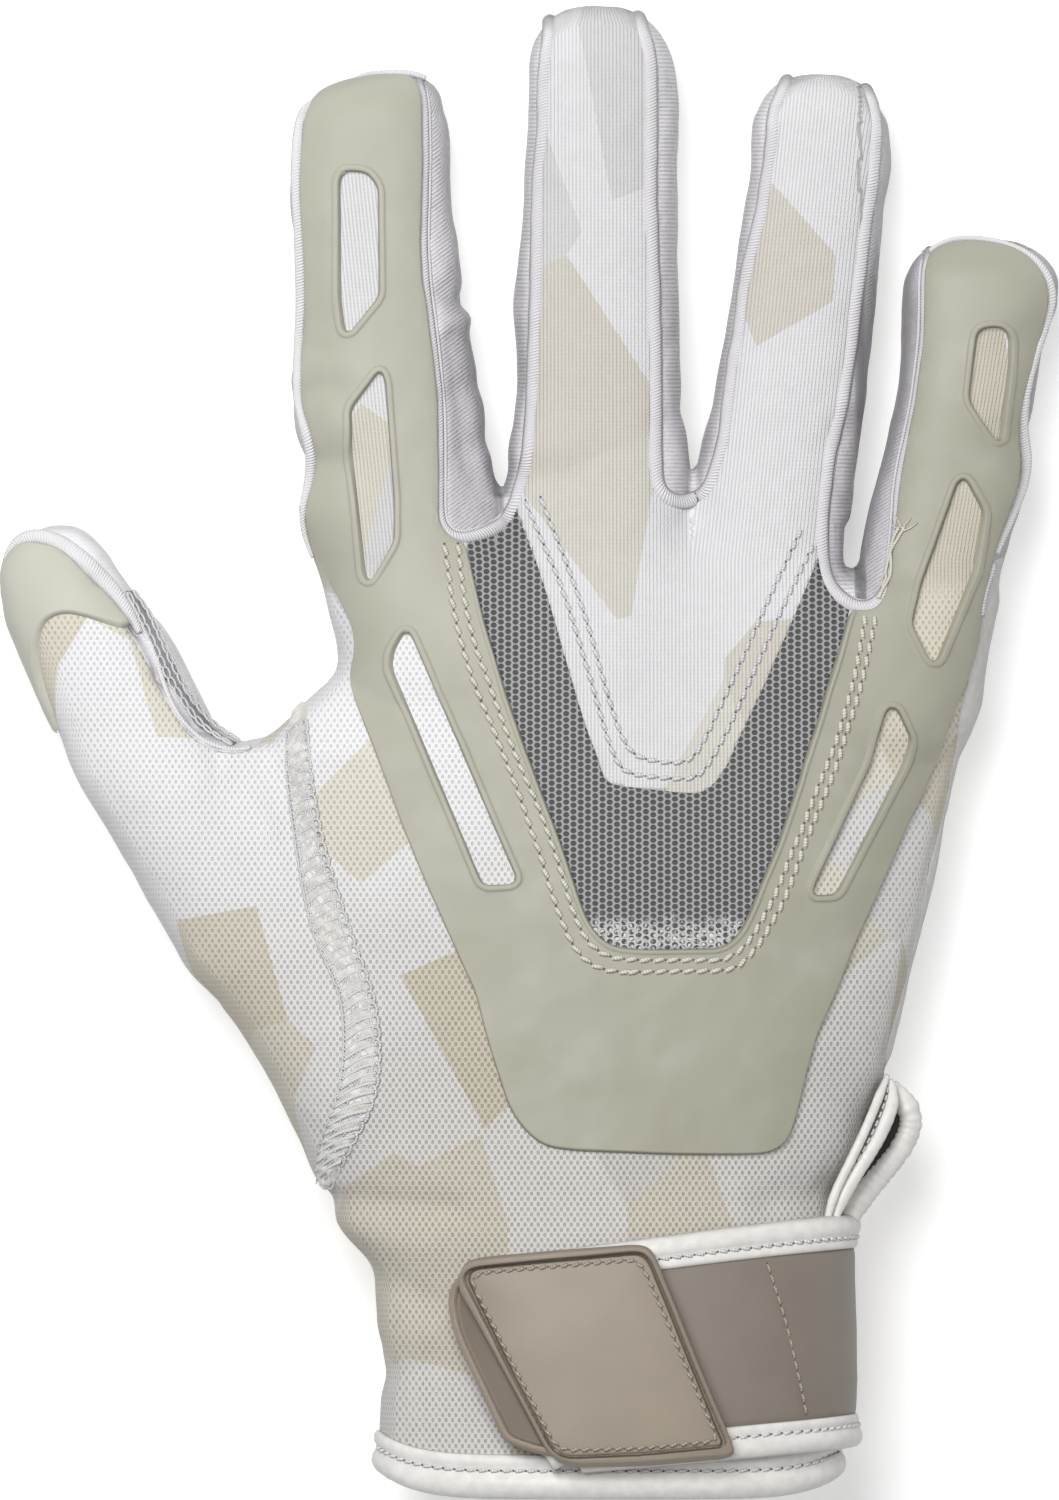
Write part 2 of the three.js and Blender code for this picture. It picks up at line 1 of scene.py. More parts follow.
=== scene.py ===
"""A football receiver glove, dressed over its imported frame.

The cloth body is one smooth surface grown from the glove's outline in the photograph and a table
of heights. It is cut along the seams into panels. Rubber, leather and thread lie over it. Lengths
are millimetres until a mesh is made, and Blender's metres after that.
"""

import math

import bpy
import numpy as np
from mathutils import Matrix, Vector, noise
from mathutils.bvhtree import BVHTree


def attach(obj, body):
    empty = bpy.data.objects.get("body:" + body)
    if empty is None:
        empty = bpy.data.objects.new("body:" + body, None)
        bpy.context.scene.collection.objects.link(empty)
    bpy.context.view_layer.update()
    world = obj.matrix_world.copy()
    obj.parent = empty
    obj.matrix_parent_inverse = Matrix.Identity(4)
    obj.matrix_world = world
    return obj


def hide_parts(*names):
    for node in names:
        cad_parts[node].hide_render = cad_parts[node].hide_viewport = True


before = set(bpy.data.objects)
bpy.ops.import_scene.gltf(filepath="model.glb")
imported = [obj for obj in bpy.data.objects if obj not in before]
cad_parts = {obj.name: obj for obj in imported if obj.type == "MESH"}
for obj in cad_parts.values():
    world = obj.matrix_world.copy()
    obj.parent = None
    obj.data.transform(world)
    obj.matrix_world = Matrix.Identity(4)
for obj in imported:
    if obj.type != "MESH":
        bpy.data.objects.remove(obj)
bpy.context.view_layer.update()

# The photograph's scale, and the pixel that lies over the origin

PIXEL = 0.152
ORIGIN_PIXEL = (620, 900)
PICTURE = (1059, 1500)
METRE = 0.001

# Sizes of cloth and rubber, and the steps of the grids that they are worked out on

CLOTH = 1.2
MESH_CLOTH = 0.8
FLARE_LEATHER = 0.9
RUBBER = 0.95
LIP = 0.3
PALM_SEAM = 5.5
SEAM_DIP = 0.35
GRID = 0.8
MAP_STEP = 0.45
ABOVE = 60
FAR = 6.0

# Places on the glove, as pixel rows and as the wrist's middle in millimetres across and up

KNUCKLE_ROW = 560
HEM_ROW = 1487
WRIST_AXIS = (-1.2, 21.0)

# Blends where forms meet

FINGER_BLEND = 0.6
KNUCKLE_BLEND = 3.2
THUMB_BLEND = 5.0
FLOOR_BLEND = 1.2

# Forms of the body. An outline row is (pixel row, left, right) and a height is (pixel row, millimetres).
# A tip is (pixel row, depth, power). A slant is (slope, column), and a step is (column, width, rise).

FINGER = {"lows": [(0, -1), (800, -1)], "powers": (2.5, 2.7), "waist": 0.45}
HAND = {
    "outline": [
        (1500, 385, 834), (1440, 379, 838), (1360, 383, 838), (1280, 371, 836), (1210, 333, 838),
        (1150, 305, 857), (1065, 285, 889), (985, 278, 909), (900, 266, 930), (825, 255, 946),
        (785, 247, 955), (758, 245, 960), (740, 262, 966), (722, 284, 971), (700, 306, 975),
        (680, 328, 976), (660, 341, 978), (640, 345, 980), (600, 342, 984), (560, 350, 978),
        (520, 365, 950),
    ],
    "tops": [
        (1500, 41), (1360, 40), (1280, 38.5), (1210, 37.2), (1150, 36.2), (1065, 34.8), (985, 33.4),
        (900, 32), (825, 30.6), (745, 29), (665, 27), (600, 24.5), (560, 21), (520, 15),
    ],
    "lows": [(1500, 4.6), (1280, 4.5), (1210, 3), (1150, 1.2), (1065, -0.8), (520, -1)],
    "powers": (2.35, 3.3),
    "waist": 0.42,
    "tip": (462, 40, 2.2),
    "step": (775, 60, 104),
}
INDEX = {
    **FINGER,
    "outline": [
        (60, 299, 443), (105, 299, 443), (125, 296, 448), (165, 290, 450), (205, 289, 451),
        (245, 294, 458), (305, 298, 464), (345, 298, 472), (385, 288, 479), (425, 297, 484),
        (465, 304, 494), (505, 299, 501), (545, 311, 515), (585, 328, 530), (640, 345, 536),
        (720, 365, 540),
    ],
    "tops": [
        (68, 14.5), (125, 16.5), (205, 17.6), (305, 18.4), (385, 19.4), (465, 20.2), (545, 22),
        (640, 24.5), (720, 26),
    ],
    "tip": (68, 46, 2.8),
    "slant": (0.19, 412),
}
MIDDLE = {
    **FINGER,
    "outline": [
        (0, 530, 664), (45, 529, 670), (105, 528, 679), (165, 524, 677), (225, 521, 678), (265, 517, 677),
        (305, 513, 679), (385, 517, 681), (425, 513, 685), (445, 509, 688), (485, 502, 693),
        (505, 500, 695), (640, 505, 690), (720, 515, 680),
    ],
    "tops": [
        (4, 14.5), (60, 16.5), (125, 17.6), (205, 18.3), (305, 19.2), (385, 20.2), (465, 21.2), (545, 23),
        (640, 25.6), (720, 27),
    ],
    "tip": (4, 60, 2.05),
}
RING = {
    **FINGER,
    "outline": [
        (60, 755, 884), (105, 755, 884), (125, 751, 889), (165, 750, 891), (205, 745, 884),
        (245, 738, 881), (285, 732, 878), (325, 727, 873), (365, 719, 869), (405, 712, 866),
        (445, 701, 860), (485, 692, 854), (525, 688, 849), (560, 686, 845), (600, 686, 850),
        (640, 690, 850), (720, 695, 840),
    ],
    "tops": [
        (72, 14), (125, 16.5), (205, 17.6), (305, 18.6), (385, 19.6), (465, 20.6), (545, 22.4), (640, 25),
        (720, 26.5),
    ],
    "tip": (72, 54, 2.0),
}
LITTLE = {
    **FINGER,
    "outline": [
        (230, 906, 1050), (265, 907, 1056), (285, 904, 1059), (305, 903, 1058), (345, 902, 1046),
        (385, 898, 1037), (425, 890, 1031), (465, 880, 1029), (505, 870, 1020), (545, 862, 1009),
        (585, 856, 997), (645, 842, 982), (700, 835, 972), (760, 840, 950),
    ],
    "tops": [(238, 13), (285, 15), (345, 16), (425, 17.4), (505, 19), (585, 21), (645, 22.6), (760, 24)],
    "tip": (237, 46, 2.3),
}

# The thumb leans: its rows run along its own axis, in pixels from its tip.

THUMB_TIP = (45, 530)
THUMB_LEAN = math.radians(28)
THUMB = {
    "outline": [
        (-20, -70, 42), (40, -68, 44), (68, -74, 45), (87, -76, 47), (114, -78, 54), (139, -80, 59),
        (185, -86, 61), (225, -91, 61), (266, -87, 65), (300, -84, 76), (380, -84, 88), (449, -82, 86),
        (503, -68, 78), (553, -57, 68), (624, -48, 56), (690, -40, 45),
    ],
    "tops": [
        (-4, 13), (60, 16.5), (110, 18.5), (185, 21), (266, 23.5), (380, 25.5), (503, 27), (690, 29),
    ],
    "lows": [(-20, -1), (690, -1)],
    "powers": (2.3, 2.7),
    "waist": 0.45,
    "tip": (-4, 62, 2.1),
}

# Outlines on the photograph, in pixels

TOP_SIDE = [
    (-120, 490), (200, 470), (294, 505), (312, 482), (317, 460), (309, 425), (299, 400), (299, 365),
    (304, 330), (304, 290), (302, 250), (299, 210), (298, 180), (300, 150), (302, 120), (306, 102),
    (314, 88), (322, 40), (412, 30), (419, 78), (425, 100), (426, 160), (424, 240), (426, 280),
    (430, 310), (436, 360), (440, 400), (441, 440), (441, 480), (441, 520), (449, 533), (462, 537),
    (490, 528), (505, 518), (513, 503), (520, 480), (525, 460), (530, 400), (533, 300), (535, 220),
    (536, 170), (541, 130), (541, 80), (546, 35), (550, -20), (636, -20), (641, 18), (652, 55),
    (653, 100), (652, 200), (654, 250), (657, 350), (657, 450), (658, 482), (664, 495), (680, 500),
    (698, 496), (708, 486), (722, 440), (730, 370), (737, 330), (742, 290), (750, 250), (760, 210),
    (766, 170), (770, 140), (771, 110), (784, 84), (790, 40), (862, 40), (868, 90), (878, 115),
    (877, 150), (873, 190), (866, 230), (862, 270), (856, 310), (852, 350), (846, 390), (840, 420),
    (832, 450), (828, 480), (824, 510), (823, 540), (825, 572), (832, 588), (846, 600), (862, 607),
    (875, 603), (884, 590), (890, 565), (894, 530), (896, 490), (901, 460), (908, 430), (914, 400),
    (918, 370), (922, 340), (923, 300), (923, 272), (928, 250), (935, 200), (1020, 200), (1030, 250),
    (1042, 264), (1051, 282), (1052, 300), (1044, 340), (1031, 380), (1023, 410), (1022, 440),
    (1025, 465), (1021, 492), (1012, 510), (1003, 535), (993, 560), (981, 600), (977, 640), (966, 685),
    (960, 710), (956, 745), (950, 785), (940, 828), (930, 862), (919, 922), (907, 975), (897, 1010),
    (884, 1056), (889, 1080), (960, 1110), (960, 1560), (-120, 1560),
]
THUMB_STRIP = [
    (-40, 470), (14, 552), (26, 546), (50, 551), (66, 562), (86, 585), (103, 600), (126, 628), (140, 651),
    (152, 673), (162, 694), (176, 719), (193, 739), (212, 750), (235, 754), (254, 748), (266, 735),
    (290, 600), (120, 440),
]
THUMB_SEAM = [
    (292, 690), (297, 720), (296, 765), (305, 830), (316, 885), (331, 930), (346, 970), (357, 1000),
    (360, 1050), (356, 1088), (343, 1125), (328, 1160), (316, 1192),
]
KNUCKLE = [
    (470, 300), (500, 430), (513, 503), (535, 560), (548, 600), (561, 645), (571, 680), (580, 710),
    (588, 735), (597, 757), (602, 775), (608, 783), (620, 786), (655, 790), (692, 794), (704, 791),
    (713, 784), (724, 770), (737, 741), (762, 688), (792, 620), (822, 548), (860, 430), (880, -40),
    (480, -40),
]
MESH = [
    (462, 500), (464, 530), (468, 555), (476, 590), (485, 625), (497, 665), (510, 705), (522, 740),
    (535, 775), (550, 815), (563, 850), (573, 880), (583, 910), (590, 925), (600, 938), (615, 947),
    (640, 949), (720, 948), (735, 937), (745, 920), (755, 895), (765, 870), (775, 848), (785, 818),
    (795, 788), (804, 757), (815, 725), (825, 690), (836, 655), (852, 600), (860, 560),
]
OVERLAY = [
    (313, 102), (322, 91), (345, 82), (372, 77), (402, 76), (412, 80), (418, 92), (419, 110), (420, 160),
    (418, 240), (420, 280), (425, 310), (431, 360), (435, 400), (436, 440), (437, 480), (437, 520),
    (446, 537), (464, 544), (468, 560),
    *MESH[3:-2],
    (849, 610), (862, 612), (878, 609), (888, 590), (894, 560), (898, 520), (901, 490), (906, 460),
    (912, 430), (918, 400), (922, 370), (926, 340), (927, 300), (927, 272), (932, 254), (944, 246),
    (962, 243), (985, 243), (1007, 247), (1022, 254), (1036, 267), (1044, 282), (1046, 298), (1037, 343),
    (1025, 380), (1017, 410), (1015, 440), (1018, 465), (1014, 490), (1003, 518), (994, 542), (986, 575),
    (980, 610), (974, 650), (962, 685), (950, 715), (938, 750), (920, 795), (905, 825), (888, 865),
    (870, 905), (850, 950), (835, 990), (815, 1035), (803, 1078), (796, 1108), (790, 1130), (782, 1143),
    (768, 1152), (745, 1154), (680, 1154), (575, 1150), (550, 1147), (534, 1139), (518, 1122),
    (507, 1103), (495, 1065), (485, 1032), (475, 992), (458, 955), (440, 915), (420, 870), (400, 820),
    (382, 770), (366, 730), (353, 695), (352, 675), (357, 650), (355, 628), (345, 606), (332, 582),
    (317, 548), (308, 522), (309, 500), (316, 482), (320, 462), (315, 437), (305, 408), (303, 380),
    (304, 352), (308, 322), (308, 290), (306, 250), (303, 210), (302, 180), (304, 150), (307, 120),
]
WINDOWS = {
    "index_upper": [
        (340, 180), (345, 171), (366, 173), (377, 187), (378, 296), (350, 332), (345, 330), (341, 300),
    ],
    "index_lower": [
        (379, 371), (384, 380), (393, 500), (393, 542), (371, 582), (366, 576), (352, 450), (351, 410),
    ],
    "hand_thumb_side": [
        (404, 633), (410, 634), (516, 879), (511, 884), (483, 885), (392, 668), (394, 652),
    ],
    "little_upper": [
        (977, 334), (984, 328), (1001, 327), (1008, 336), (1008, 362), (998, 441), (993, 441), (969, 400),
    ],
    "little_lower": [
        (958, 482), (965, 480), (982, 512), (972, 570), (935, 661), (929, 661), (911, 625), (920, 588),
    ],
    "hand_little_side": [
        (886, 709), (895, 709), (909, 738), (900, 766), (834, 894), (812, 895), (812, 888), (868, 766),
    ],
}
THUMB_CAP = [
    (-60, 600), (-20, 550), (16, 546), (28, 542), (53, 548), (67, 557), (89, 582), (104, 596), (129, 626),
    (120, 629), (108, 625), (88, 618), (66, 613), (50, 617), (42, 627), (38, 645), (39, 665), (45, 690),
    (60, 735), (20, 745), (-60, 680),
]
TAPE = [
    (290, 706), (300, 700), (307, 702), (307, 740), (312, 780), (320, 840), (330, 870), (340, 897),
    (350, 930), (361, 960), (369, 980), (375, 1000), (379, 1030), (380, 1060), (378, 1085), (372, 1110),
    (360, 1132), (345, 1156), (336, 1172), (330, 1190), (320, 1192), (315, 1170), (318, 1150),
    (328, 1120), (336, 1100), (341, 1080), (343, 1040), (341, 1000), (334, 983), (321, 958), (309, 930),
    (303, 900), (297, 870), (290, 815), (284, 765),
]
TAB = [
    (459, 1284), (465, 1260), (480, 1255), (560, 1248), (641, 1242), (653, 1250), (735, 1455),
    (640, 1463), (568, 1464), (547, 1452), (520, 1400),
]
TAB_PANEL = [
    (467, 1276), (474, 1266), (560, 1258), (638, 1251), (648, 1258), (723, 1444), (640, 1452),
    (566, 1455), (552, 1447), (516, 1378),
]
TAB_SEAM = [
    (474, 1278), (484, 1271), (560, 1265), (634, 1259), (643, 1270), (714, 1438), (640, 1445),
    (564, 1447), (553, 1438), (530, 1392), (500, 1332),
]
WING = [
    (520, 1262), (470, 1268), (453, 1279), (449, 1302), (455, 1333), (500, 1430), (507, 1441),
    (540, 1452), (590, 1458),
]

# Lines where the seams are sewn and rolled, in pixels. A side roll's row ends with its radius in millimetres.

OVERLAY_SEAMS = {
    "overlay_outer_left": [
        (443, 545), (447, 575), (456, 625), (467, 665), (480, 700), (493, 730), (517, 790), (527, 820),
        (540, 855), (550, 890), (560, 920), (572, 945), (583, 960), (600, 970), (625, 972),
    ],
    "overlay_inner_left": [
        (456, 545), (460, 580), (466, 615), (475, 650), (487, 680), (500, 715), (511, 745), (523, 775),
        (535, 800), (548, 835), (560, 870), (568, 900), (577, 925), (588, 945), (605, 956), (625, 960),
        (720, 960),
    ],
    "overlay_outer_right": [
        (625, 972), (715, 971), (737, 968), (757, 945), (768, 925), (780, 905), (790, 880), (800, 850),
        (810, 825), (822, 795), (835, 765), (843, 735), (852, 710), (861, 680), (875, 618),
    ],
    "overlay_inner_right": [
        (720, 960), (737, 953), (746, 943), (757, 925), (768, 905), (778, 885), (788, 855), (800, 830),
        (812, 795), (823, 770), (833, 745), (842, 715), (852, 680), (864, 618),
    ],
}
KNUCKLE_SEAMS = {
    "knuckle_outer": [
        (525, 500), (540, 537), (560, 583), (575, 630), (590, 680), (602, 722), (611, 752), (622, 772),
        (640, 776), (690, 780), (702, 774), (722, 740), (745, 690), (775, 622), (812, 545),
    ],
    "knuckle_inner": [
        (540, 497), (556, 537), (576, 590), (592, 640), (606, 692), (618, 730), (628, 751), (642, 760),
        (690, 765), (706, 735), (732, 680), (762, 612), (800, 530),
    ],
}
TAPE_LEFT = [
    (287, 735), (287, 780), (291, 820), (297, 870), (303, 900), (309, 930), (321, 958), (334, 983),
    (341, 1000), (343, 1040), (341, 1080), (336, 1100), (328, 1120), (318, 1150), (316, 1180),
]
TAPE_RIGHT = [
    (306, 722), (310, 770), (317, 815), (328, 862), (340, 897), (350, 930), (361, 960), (369, 980),
    (376, 1002), (380, 1040), (379, 1078), (374, 1103), (362, 1127), (346, 1155), (331, 1186),
]
SIDE_ROLLS = {
    "side_strip_index_outer": [
        (424, 80, 0.45), (413, 75, 0.45), (390, 74, 0.45), (369, 76, 0.45), (346, 80, 0.45),
        (327, 86, 0.45), (315, 94, 0.5), (306, 105, 0.75), (301, 120, 0.85), (298, 141, 0.9),
        (297, 170, 0.95), (298, 207, 0.9), (300, 226, 0.9), (301, 260, 0.9), (302, 300, 0.85),
        (300, 340, 0.8), (298, 380, 0.8), (300, 405, 0.9), (307, 430, 0.95), (313, 455, 0.95),
        (311, 478, 0.85), (306, 500, 0.65), (304, 515, 0.45), (307, 535, 0.45), (316, 556, 0.25),
    ],
    "side_strip_little_outer": [
        (932, 253, 0.45), (944, 244, 0.45), (962, 240, 0.45), (986, 241, 0.45), (1008, 246, 0.45),
        (1024, 253, 0.5), (1036, 262, 0.65), (1046, 276, 0.85), (1051, 296, 0.95), (1044, 320, 1.0),
        (1034, 349, 1.0), (1024, 382, 1.05), (1020, 411, 1.05), (1021, 436, 1.05), (1025, 460, 1.05),
        (1021, 485, 1.0), (1011, 510, 0.95), (1001, 534, 0.85), (993, 553, 0.6),
    ],
}
THUMB_ROLL = [
    (7, 562), (13, 548), (23, 540), (36, 537), (52, 541), (67, 549), (82, 561), (102, 581), (122, 605),
    (139, 634),
]
THUMB_BINDING = [
    (126, 598), (136, 616), (150, 645), (160, 675), (170, 705), (185, 727), (202, 742), (225, 750),
    (240, 751), (250, 748),
]
CHAIN_BED = [
    (129, 592), (138, 607), (148, 626), (157, 646), (167, 668), (178, 690), (191, 711), (206, 728),
    (221, 739), (234, 744),
]
TAIL = [(879, 603), (884, 592), (890, 582), (894, 568), (896, 552), (901, 538), (904, 528)]
FRAY = [
    [(903, 532), (897, 527), (893, 522)],
    [(904, 530), (903, 523), (900, 517)],
    [(904, 530), (909, 525), (912, 519)],
    [(905, 533), (912, 530), (918, 524)],
]

# The vent in the little finger's side of the wrist. A row is (column, row, height in millimetres).
# The hole is (along, up) in millimetres.

DORSAL_LEG = [
    (889, 1081, 19.5), (893, 1096, 21), (888, 1115, 22.5), (878, 1137, 23.5), (865, 1158, 24.5),
    (852, 1178, 25.5), (841, 1198, 26), (832, 1222, 26),
]
DORSAL_LIP = [
    (887, 1076, 20), (880, 1092, 22.6), (872, 1112, 24.4), (861, 1137, 25.6), (850, 1160, 26.4),
    (838, 1183, 27), (830, 1203, 27.3), (825, 1226, 27),
]
OUTER_LEG = [
    (892, 1086, 17), (901, 1097, 18), (908, 1109, 18), (911, 1123, 17.5), (905, 1140, 17.5),
    (895, 1156, 18), (881, 1173, 18.5), (868, 1188, 19.5), (855, 1206, 20.5), (847, 1228, 21),
]
# A dark roll between the vent's legs: painted shade in its hollow.
VENT_SHADOW = [
    (894, 1108, 17.5), (894, 1122, 17.5), (886, 1138, 17.5), (872, 1157, 18), (858, 1177, 18.5),
    (849, 1193, 19), (844, 1208, 19.5),
]
VENT_HOLE = [
    (-49, 16.5), (-44, 20), (-36, 21.5), (-30, 20), (-27.5, 17), (-32, 13), (-40, 11.5), (-47, 13),
]

# Sections of what goes round the wrist, in millimetres: (place across the band, height off the cloth)

EDGING_SECTION = [
    (0.1, 1.5), (-0.05, 2.1), (0.12, 2.8), (0.55, 3.35), (1.2, 3.65), (2.0, 3.66), (2.7, 3.4),
    (3.2, 2.98), (3.5, 2.95), (3.85, 3.12), (4.4, 3.15), (4.85, 2.95), (5.0, 2.6), (4.9, 1.45),
    (2.5, 1.3),
]
FIELD_SECTION = [
    (4.4, 1.5), (4.4, 2.5), (6, 2.75), (10, 2.85), (17.3, 2.9), (24.6, 2.85), (28.6, 2.75), (30.2, 2.5),
    (30.2, 1.5), (17.3, 1.4),
]
HEM_SECTION = [
    (-83.9, 0.05), (-84.0, 0.55), (-84.6, 0.85), (-85.5, 0.82), (-86.1, 0.5), (-86.6, 0.55), (-87.4, 1.1),
    (-88.6, 1.35), (-89.7, 1.0), (-90.5, 0.1), (-90.7, -0.8), (-90.3, -1.7), (-89.3, -2.2), (-86, -2.1),
    (-85.7, -1.4), (-89.1, -1.25), (-89.4, -0.1),
]

# Soft folds: start and end of each crease in pixels, its width and depth in millimetres

FOLDS = [
    (330, 1198, 450, 1206, 2.2, -0.9), (338, 1225, 420, 1246, 2.6, 0.6), (325, 1160, 400, 1150, 3.0, 0.5),
    (345, 1262, 430, 1300, 2.4, -0.7), (365, 1325, 440, 1330, 3.2, 0.5),
    (368, 1380, 430, 1360, 2.2, -0.5), (835, 1192, 770, 1203, 3.0, -0.9),
    (840, 1150, 780, 1120, 4.0, 0.5), (500, 470, 560, 482, 2.4, -0.5), (520, 445, 575, 440, 3.0, 0.4),
    (298, 392, 330, 388, 2.4, -0.7), (306, 468, 345, 462, 2.6, -0.6), (300, 430, 335, 428, 3.0, 0.5),
    (470, 385, 450, 392, 1.8, -0.6), (464, 300, 444, 292, 1.6, -0.8), (466, 318, 446, 326, 1.6, 0.7),
    (486, 440, 462, 455, 2.2, -0.5), (60, 740, 120, 735, 5.0, -0.3), (130, 820, 190, 790, 6.0, 0.4),
    (230, 800, 262, 900, 6.0, -0.8), (250, 760, 280, 900, 3.0, 0.5), (1040, 330, 1010, 345, 3.0, -0.5),
    (1022, 440, 1000, 436, 2.6, -0.6), (1012, 500, 985, 500, 3.0, 0.4), (680, 410, 660, 425, 2.0, -0.4),
    (850, 420, 835, 440, 2.2, -0.4), (420, 690, 560, 1000, 9.0, 0.3), (900, 620, 830, 860, 9.0, 0.3),
    (640, 560, 650, 760, 10.0, 0.35), (770, 560, 740, 740, 10.0, 0.3), (60, 543, 100, 577, 1.6, -1.1),
    (100, 577, 141, 624, 1.5, -1.3), (141, 624, 166, 672, 1.7, -1.4), (166, 672, 200, 722, 1.8, -1.2),
    (200, 722, 240, 736, 1.6, -0.8), (849, 528, 851, 566, 1.1, -0.7), (452, 340, 474, 480, 1.8, -0.8),
    (472, 410, 487, 500, 2.0, 0.4), (715, 520, 690, 700, 7.0, -0.45), (560, 540, 590, 700, 7.0, -0.35),
    (690, 1010, 600, 1090, 14, -0.35),
]


def plan(points):
    """Photograph pixels to millimetres in the glove's plan."""
    pixels = np.asarray(points, float)
    return np.column_stack(((pixels[:, 0] - ORIGIN_PIXEL[0]) * PIXEL, up(pixels[:, 1])))


def up(row):
    return (ORIGIN_PIXEL[1] - row) * PIXEL


def row_of(y):
    return ORIGIN_PIXEL[1] - y / PIXEL


def column_of(x):
    return x / PIXEL + ORIGIN_PIXEL[0]


def unit(values):
    return values / np.maximum(np.linalg.norm(values, axis=-1, keepdims=True), 1e-9)


def stepped(t):
    t = np.clip(t, 0, 1)
    return t * t * (3 - 2 * t)


def noise_at(points, size=1.0):
    return np.array([noise.noise(Vector(point) / size) for point in points])


def calmed(values, rounds=1):
    """Evens out a table's rows in place and keeps its first and last."""
    for _ in range(rounds):
        values[1:-1] = (values[:-2] + 2 * values[1:-1] + values[2:]) / 4


def bilinear(grid, i, j, s, t):
    """A grid's value at the shares s and t of the cell at i and j."""
    near = grid[i, j] * (1 - s) + grid[i + 1, j] * s
    far = grid[i, j + 1] * (1 - s) + grid[i + 1, j + 1] * s
    return near * (1 - t) + far * t


def smooth_table(rows, at):
    """Values of a table's columns at each place, on a monotone cubic through its rows."""
    rows = np.asarray(sorted(rows), float)
    x = rows[:, 0]
    at = np.clip(at, x[0], x[-1])
    k = np.clip(np.searchsorted(x, at, side="right") - 1, 0, len(x) - 2)
    step = np.diff(x)
    t = (at - x[k]) / step[k]
    columns = []
    for values in rows[:, 1:].T:
        slope = np.diff(values) / step
        tangent = np.empty(len(x))
        tangent[0], tangent[-1] = slope[0], slope[-1]
        product = slope[:-1] * slope[1:]
        mean = 2 * product / np.where(slope[:-1] + slope[1:] == 0, 1, slope[:-1] + slope[1:])
        tangent[1:-1] = np.where(product > 0, mean, 0)
        a, b = values[k], values[k + 1]
        ta, tb = tangent[k] * step[k], tangent[k + 1] * step[k]
        columns.append(
            (2 * t**3 - 3 * t**2 + 1) * a + (t**3 - 2 * t**2 + t) * ta
            + (3 * t**2 - 2 * t**3) * b + (t**3 - t**2) * tb
        )
    return columns


# The body's field


def thumb_frame(x, y):
    """Plan millimetres to the thumb's own pixels: along from its tip, and across."""
    px = column_of(x) - THUMB_TIP[0]
    py = row_of(y) - THUMB_TIP[1]
    along = px * math.sin(THUMB_LEAN) + py * math.cos(THUMB_LEAN)
    across = px * math.cos(THUMB_LEAN) - py * math.sin(THUMB_LEAN)
    return along, across


def form_distance(form, x, y, z):
    """Roughly the distance from a form's surface, negative inside it."""
    along, across = thumb_frame(x, y) if form is THUMB else (row_of(y), column_of(x))
    left, right = smooth_table(form["outline"], along)
    (top,) = smooth_table(form["tops"], along)
    (low,) = smooth_table(form["lows"], along)
    half = (right - left) / 2
    t = (across - (left + right) / 2) / half
    waist = low + form["waist"] * (top - low)
    upper = z > waist
    rise = np.where(upper, (z - waist) / (top - waist), (waist - z) / (waist - low))
    power = np.where(upper, *form["powers"])
    row, depth, tip_power = form["tip"]
    slope, level_from = form.get("slant", (0, 0))
    end = row + slope * np.maximum(level_from - across, 0)
    if "step" in form:
        column, width, step_rise = form["step"]
        end = end + step_rise * stepped((across - column) / width)
    past = np.clip((end + depth - along) / depth, 0, None)
    total = np.abs(t) ** power + rise**power + past**tip_power
    if form is not HAND:
        root = form["outline"][-1][0]
        total = total + np.clip((along - root) / 60 + 1, 0, None) ** 3
    size = np.minimum(half * PIXEL, (top - low) / 2)
    return (total ** (1 / power) - 1) * size


def smooth_min(a, b, blend):
    near = np.maximum(blend - np.abs(a - b), 0) / blend
    return np.minimum(a, b) - near**2 * blend / 4


def body_field():
    """The body's distance field on a regular grid, with the grid's axes."""
    xs = np.arange(-98, 71, GRID)
    ys = np.arange(-93.5, 140, GRID)
    zs = np.arange(-2.4, 44, GRID)
    field = np.full((len(xs), len(ys), len(zs)), 30.0, np.float32)

    def put(form, blend):
        if form is THUMB:
            x_span, y_span = (-98, -20), (-70, 60)
        else:
            rows, *sides = zip(*form["outline"])
            x_span = plan([(min(sides[0]) - 25, 0), (max(sides[1]) + 25, 0)])[:, 0]
            y_span = (up(max(rows)), up(min(rows) - 25))
        i = slice(*np.searchsorted(xs, x_span))
        j = slice(*np.searchsorted(ys, y_span))
        x, y, z = np.meshgrid(xs[i], ys[j], zs, indexing="ij")
        near = form_distance(form, x, y, z).astype(np.float32)
        field[i, j] = smooth_min(field[i, j], near, blend)

    for finger in (INDEX, MIDDLE, RING, LITTLE):
        put(finger, FINGER_BLEND)
    put(HAND, KNUCKLE_BLEND)
    put(THUMB, THUMB_BLEND)
    return -smooth_min(-field, zs[None, None, :], FLOOR_BLEND), xs, ys, zs


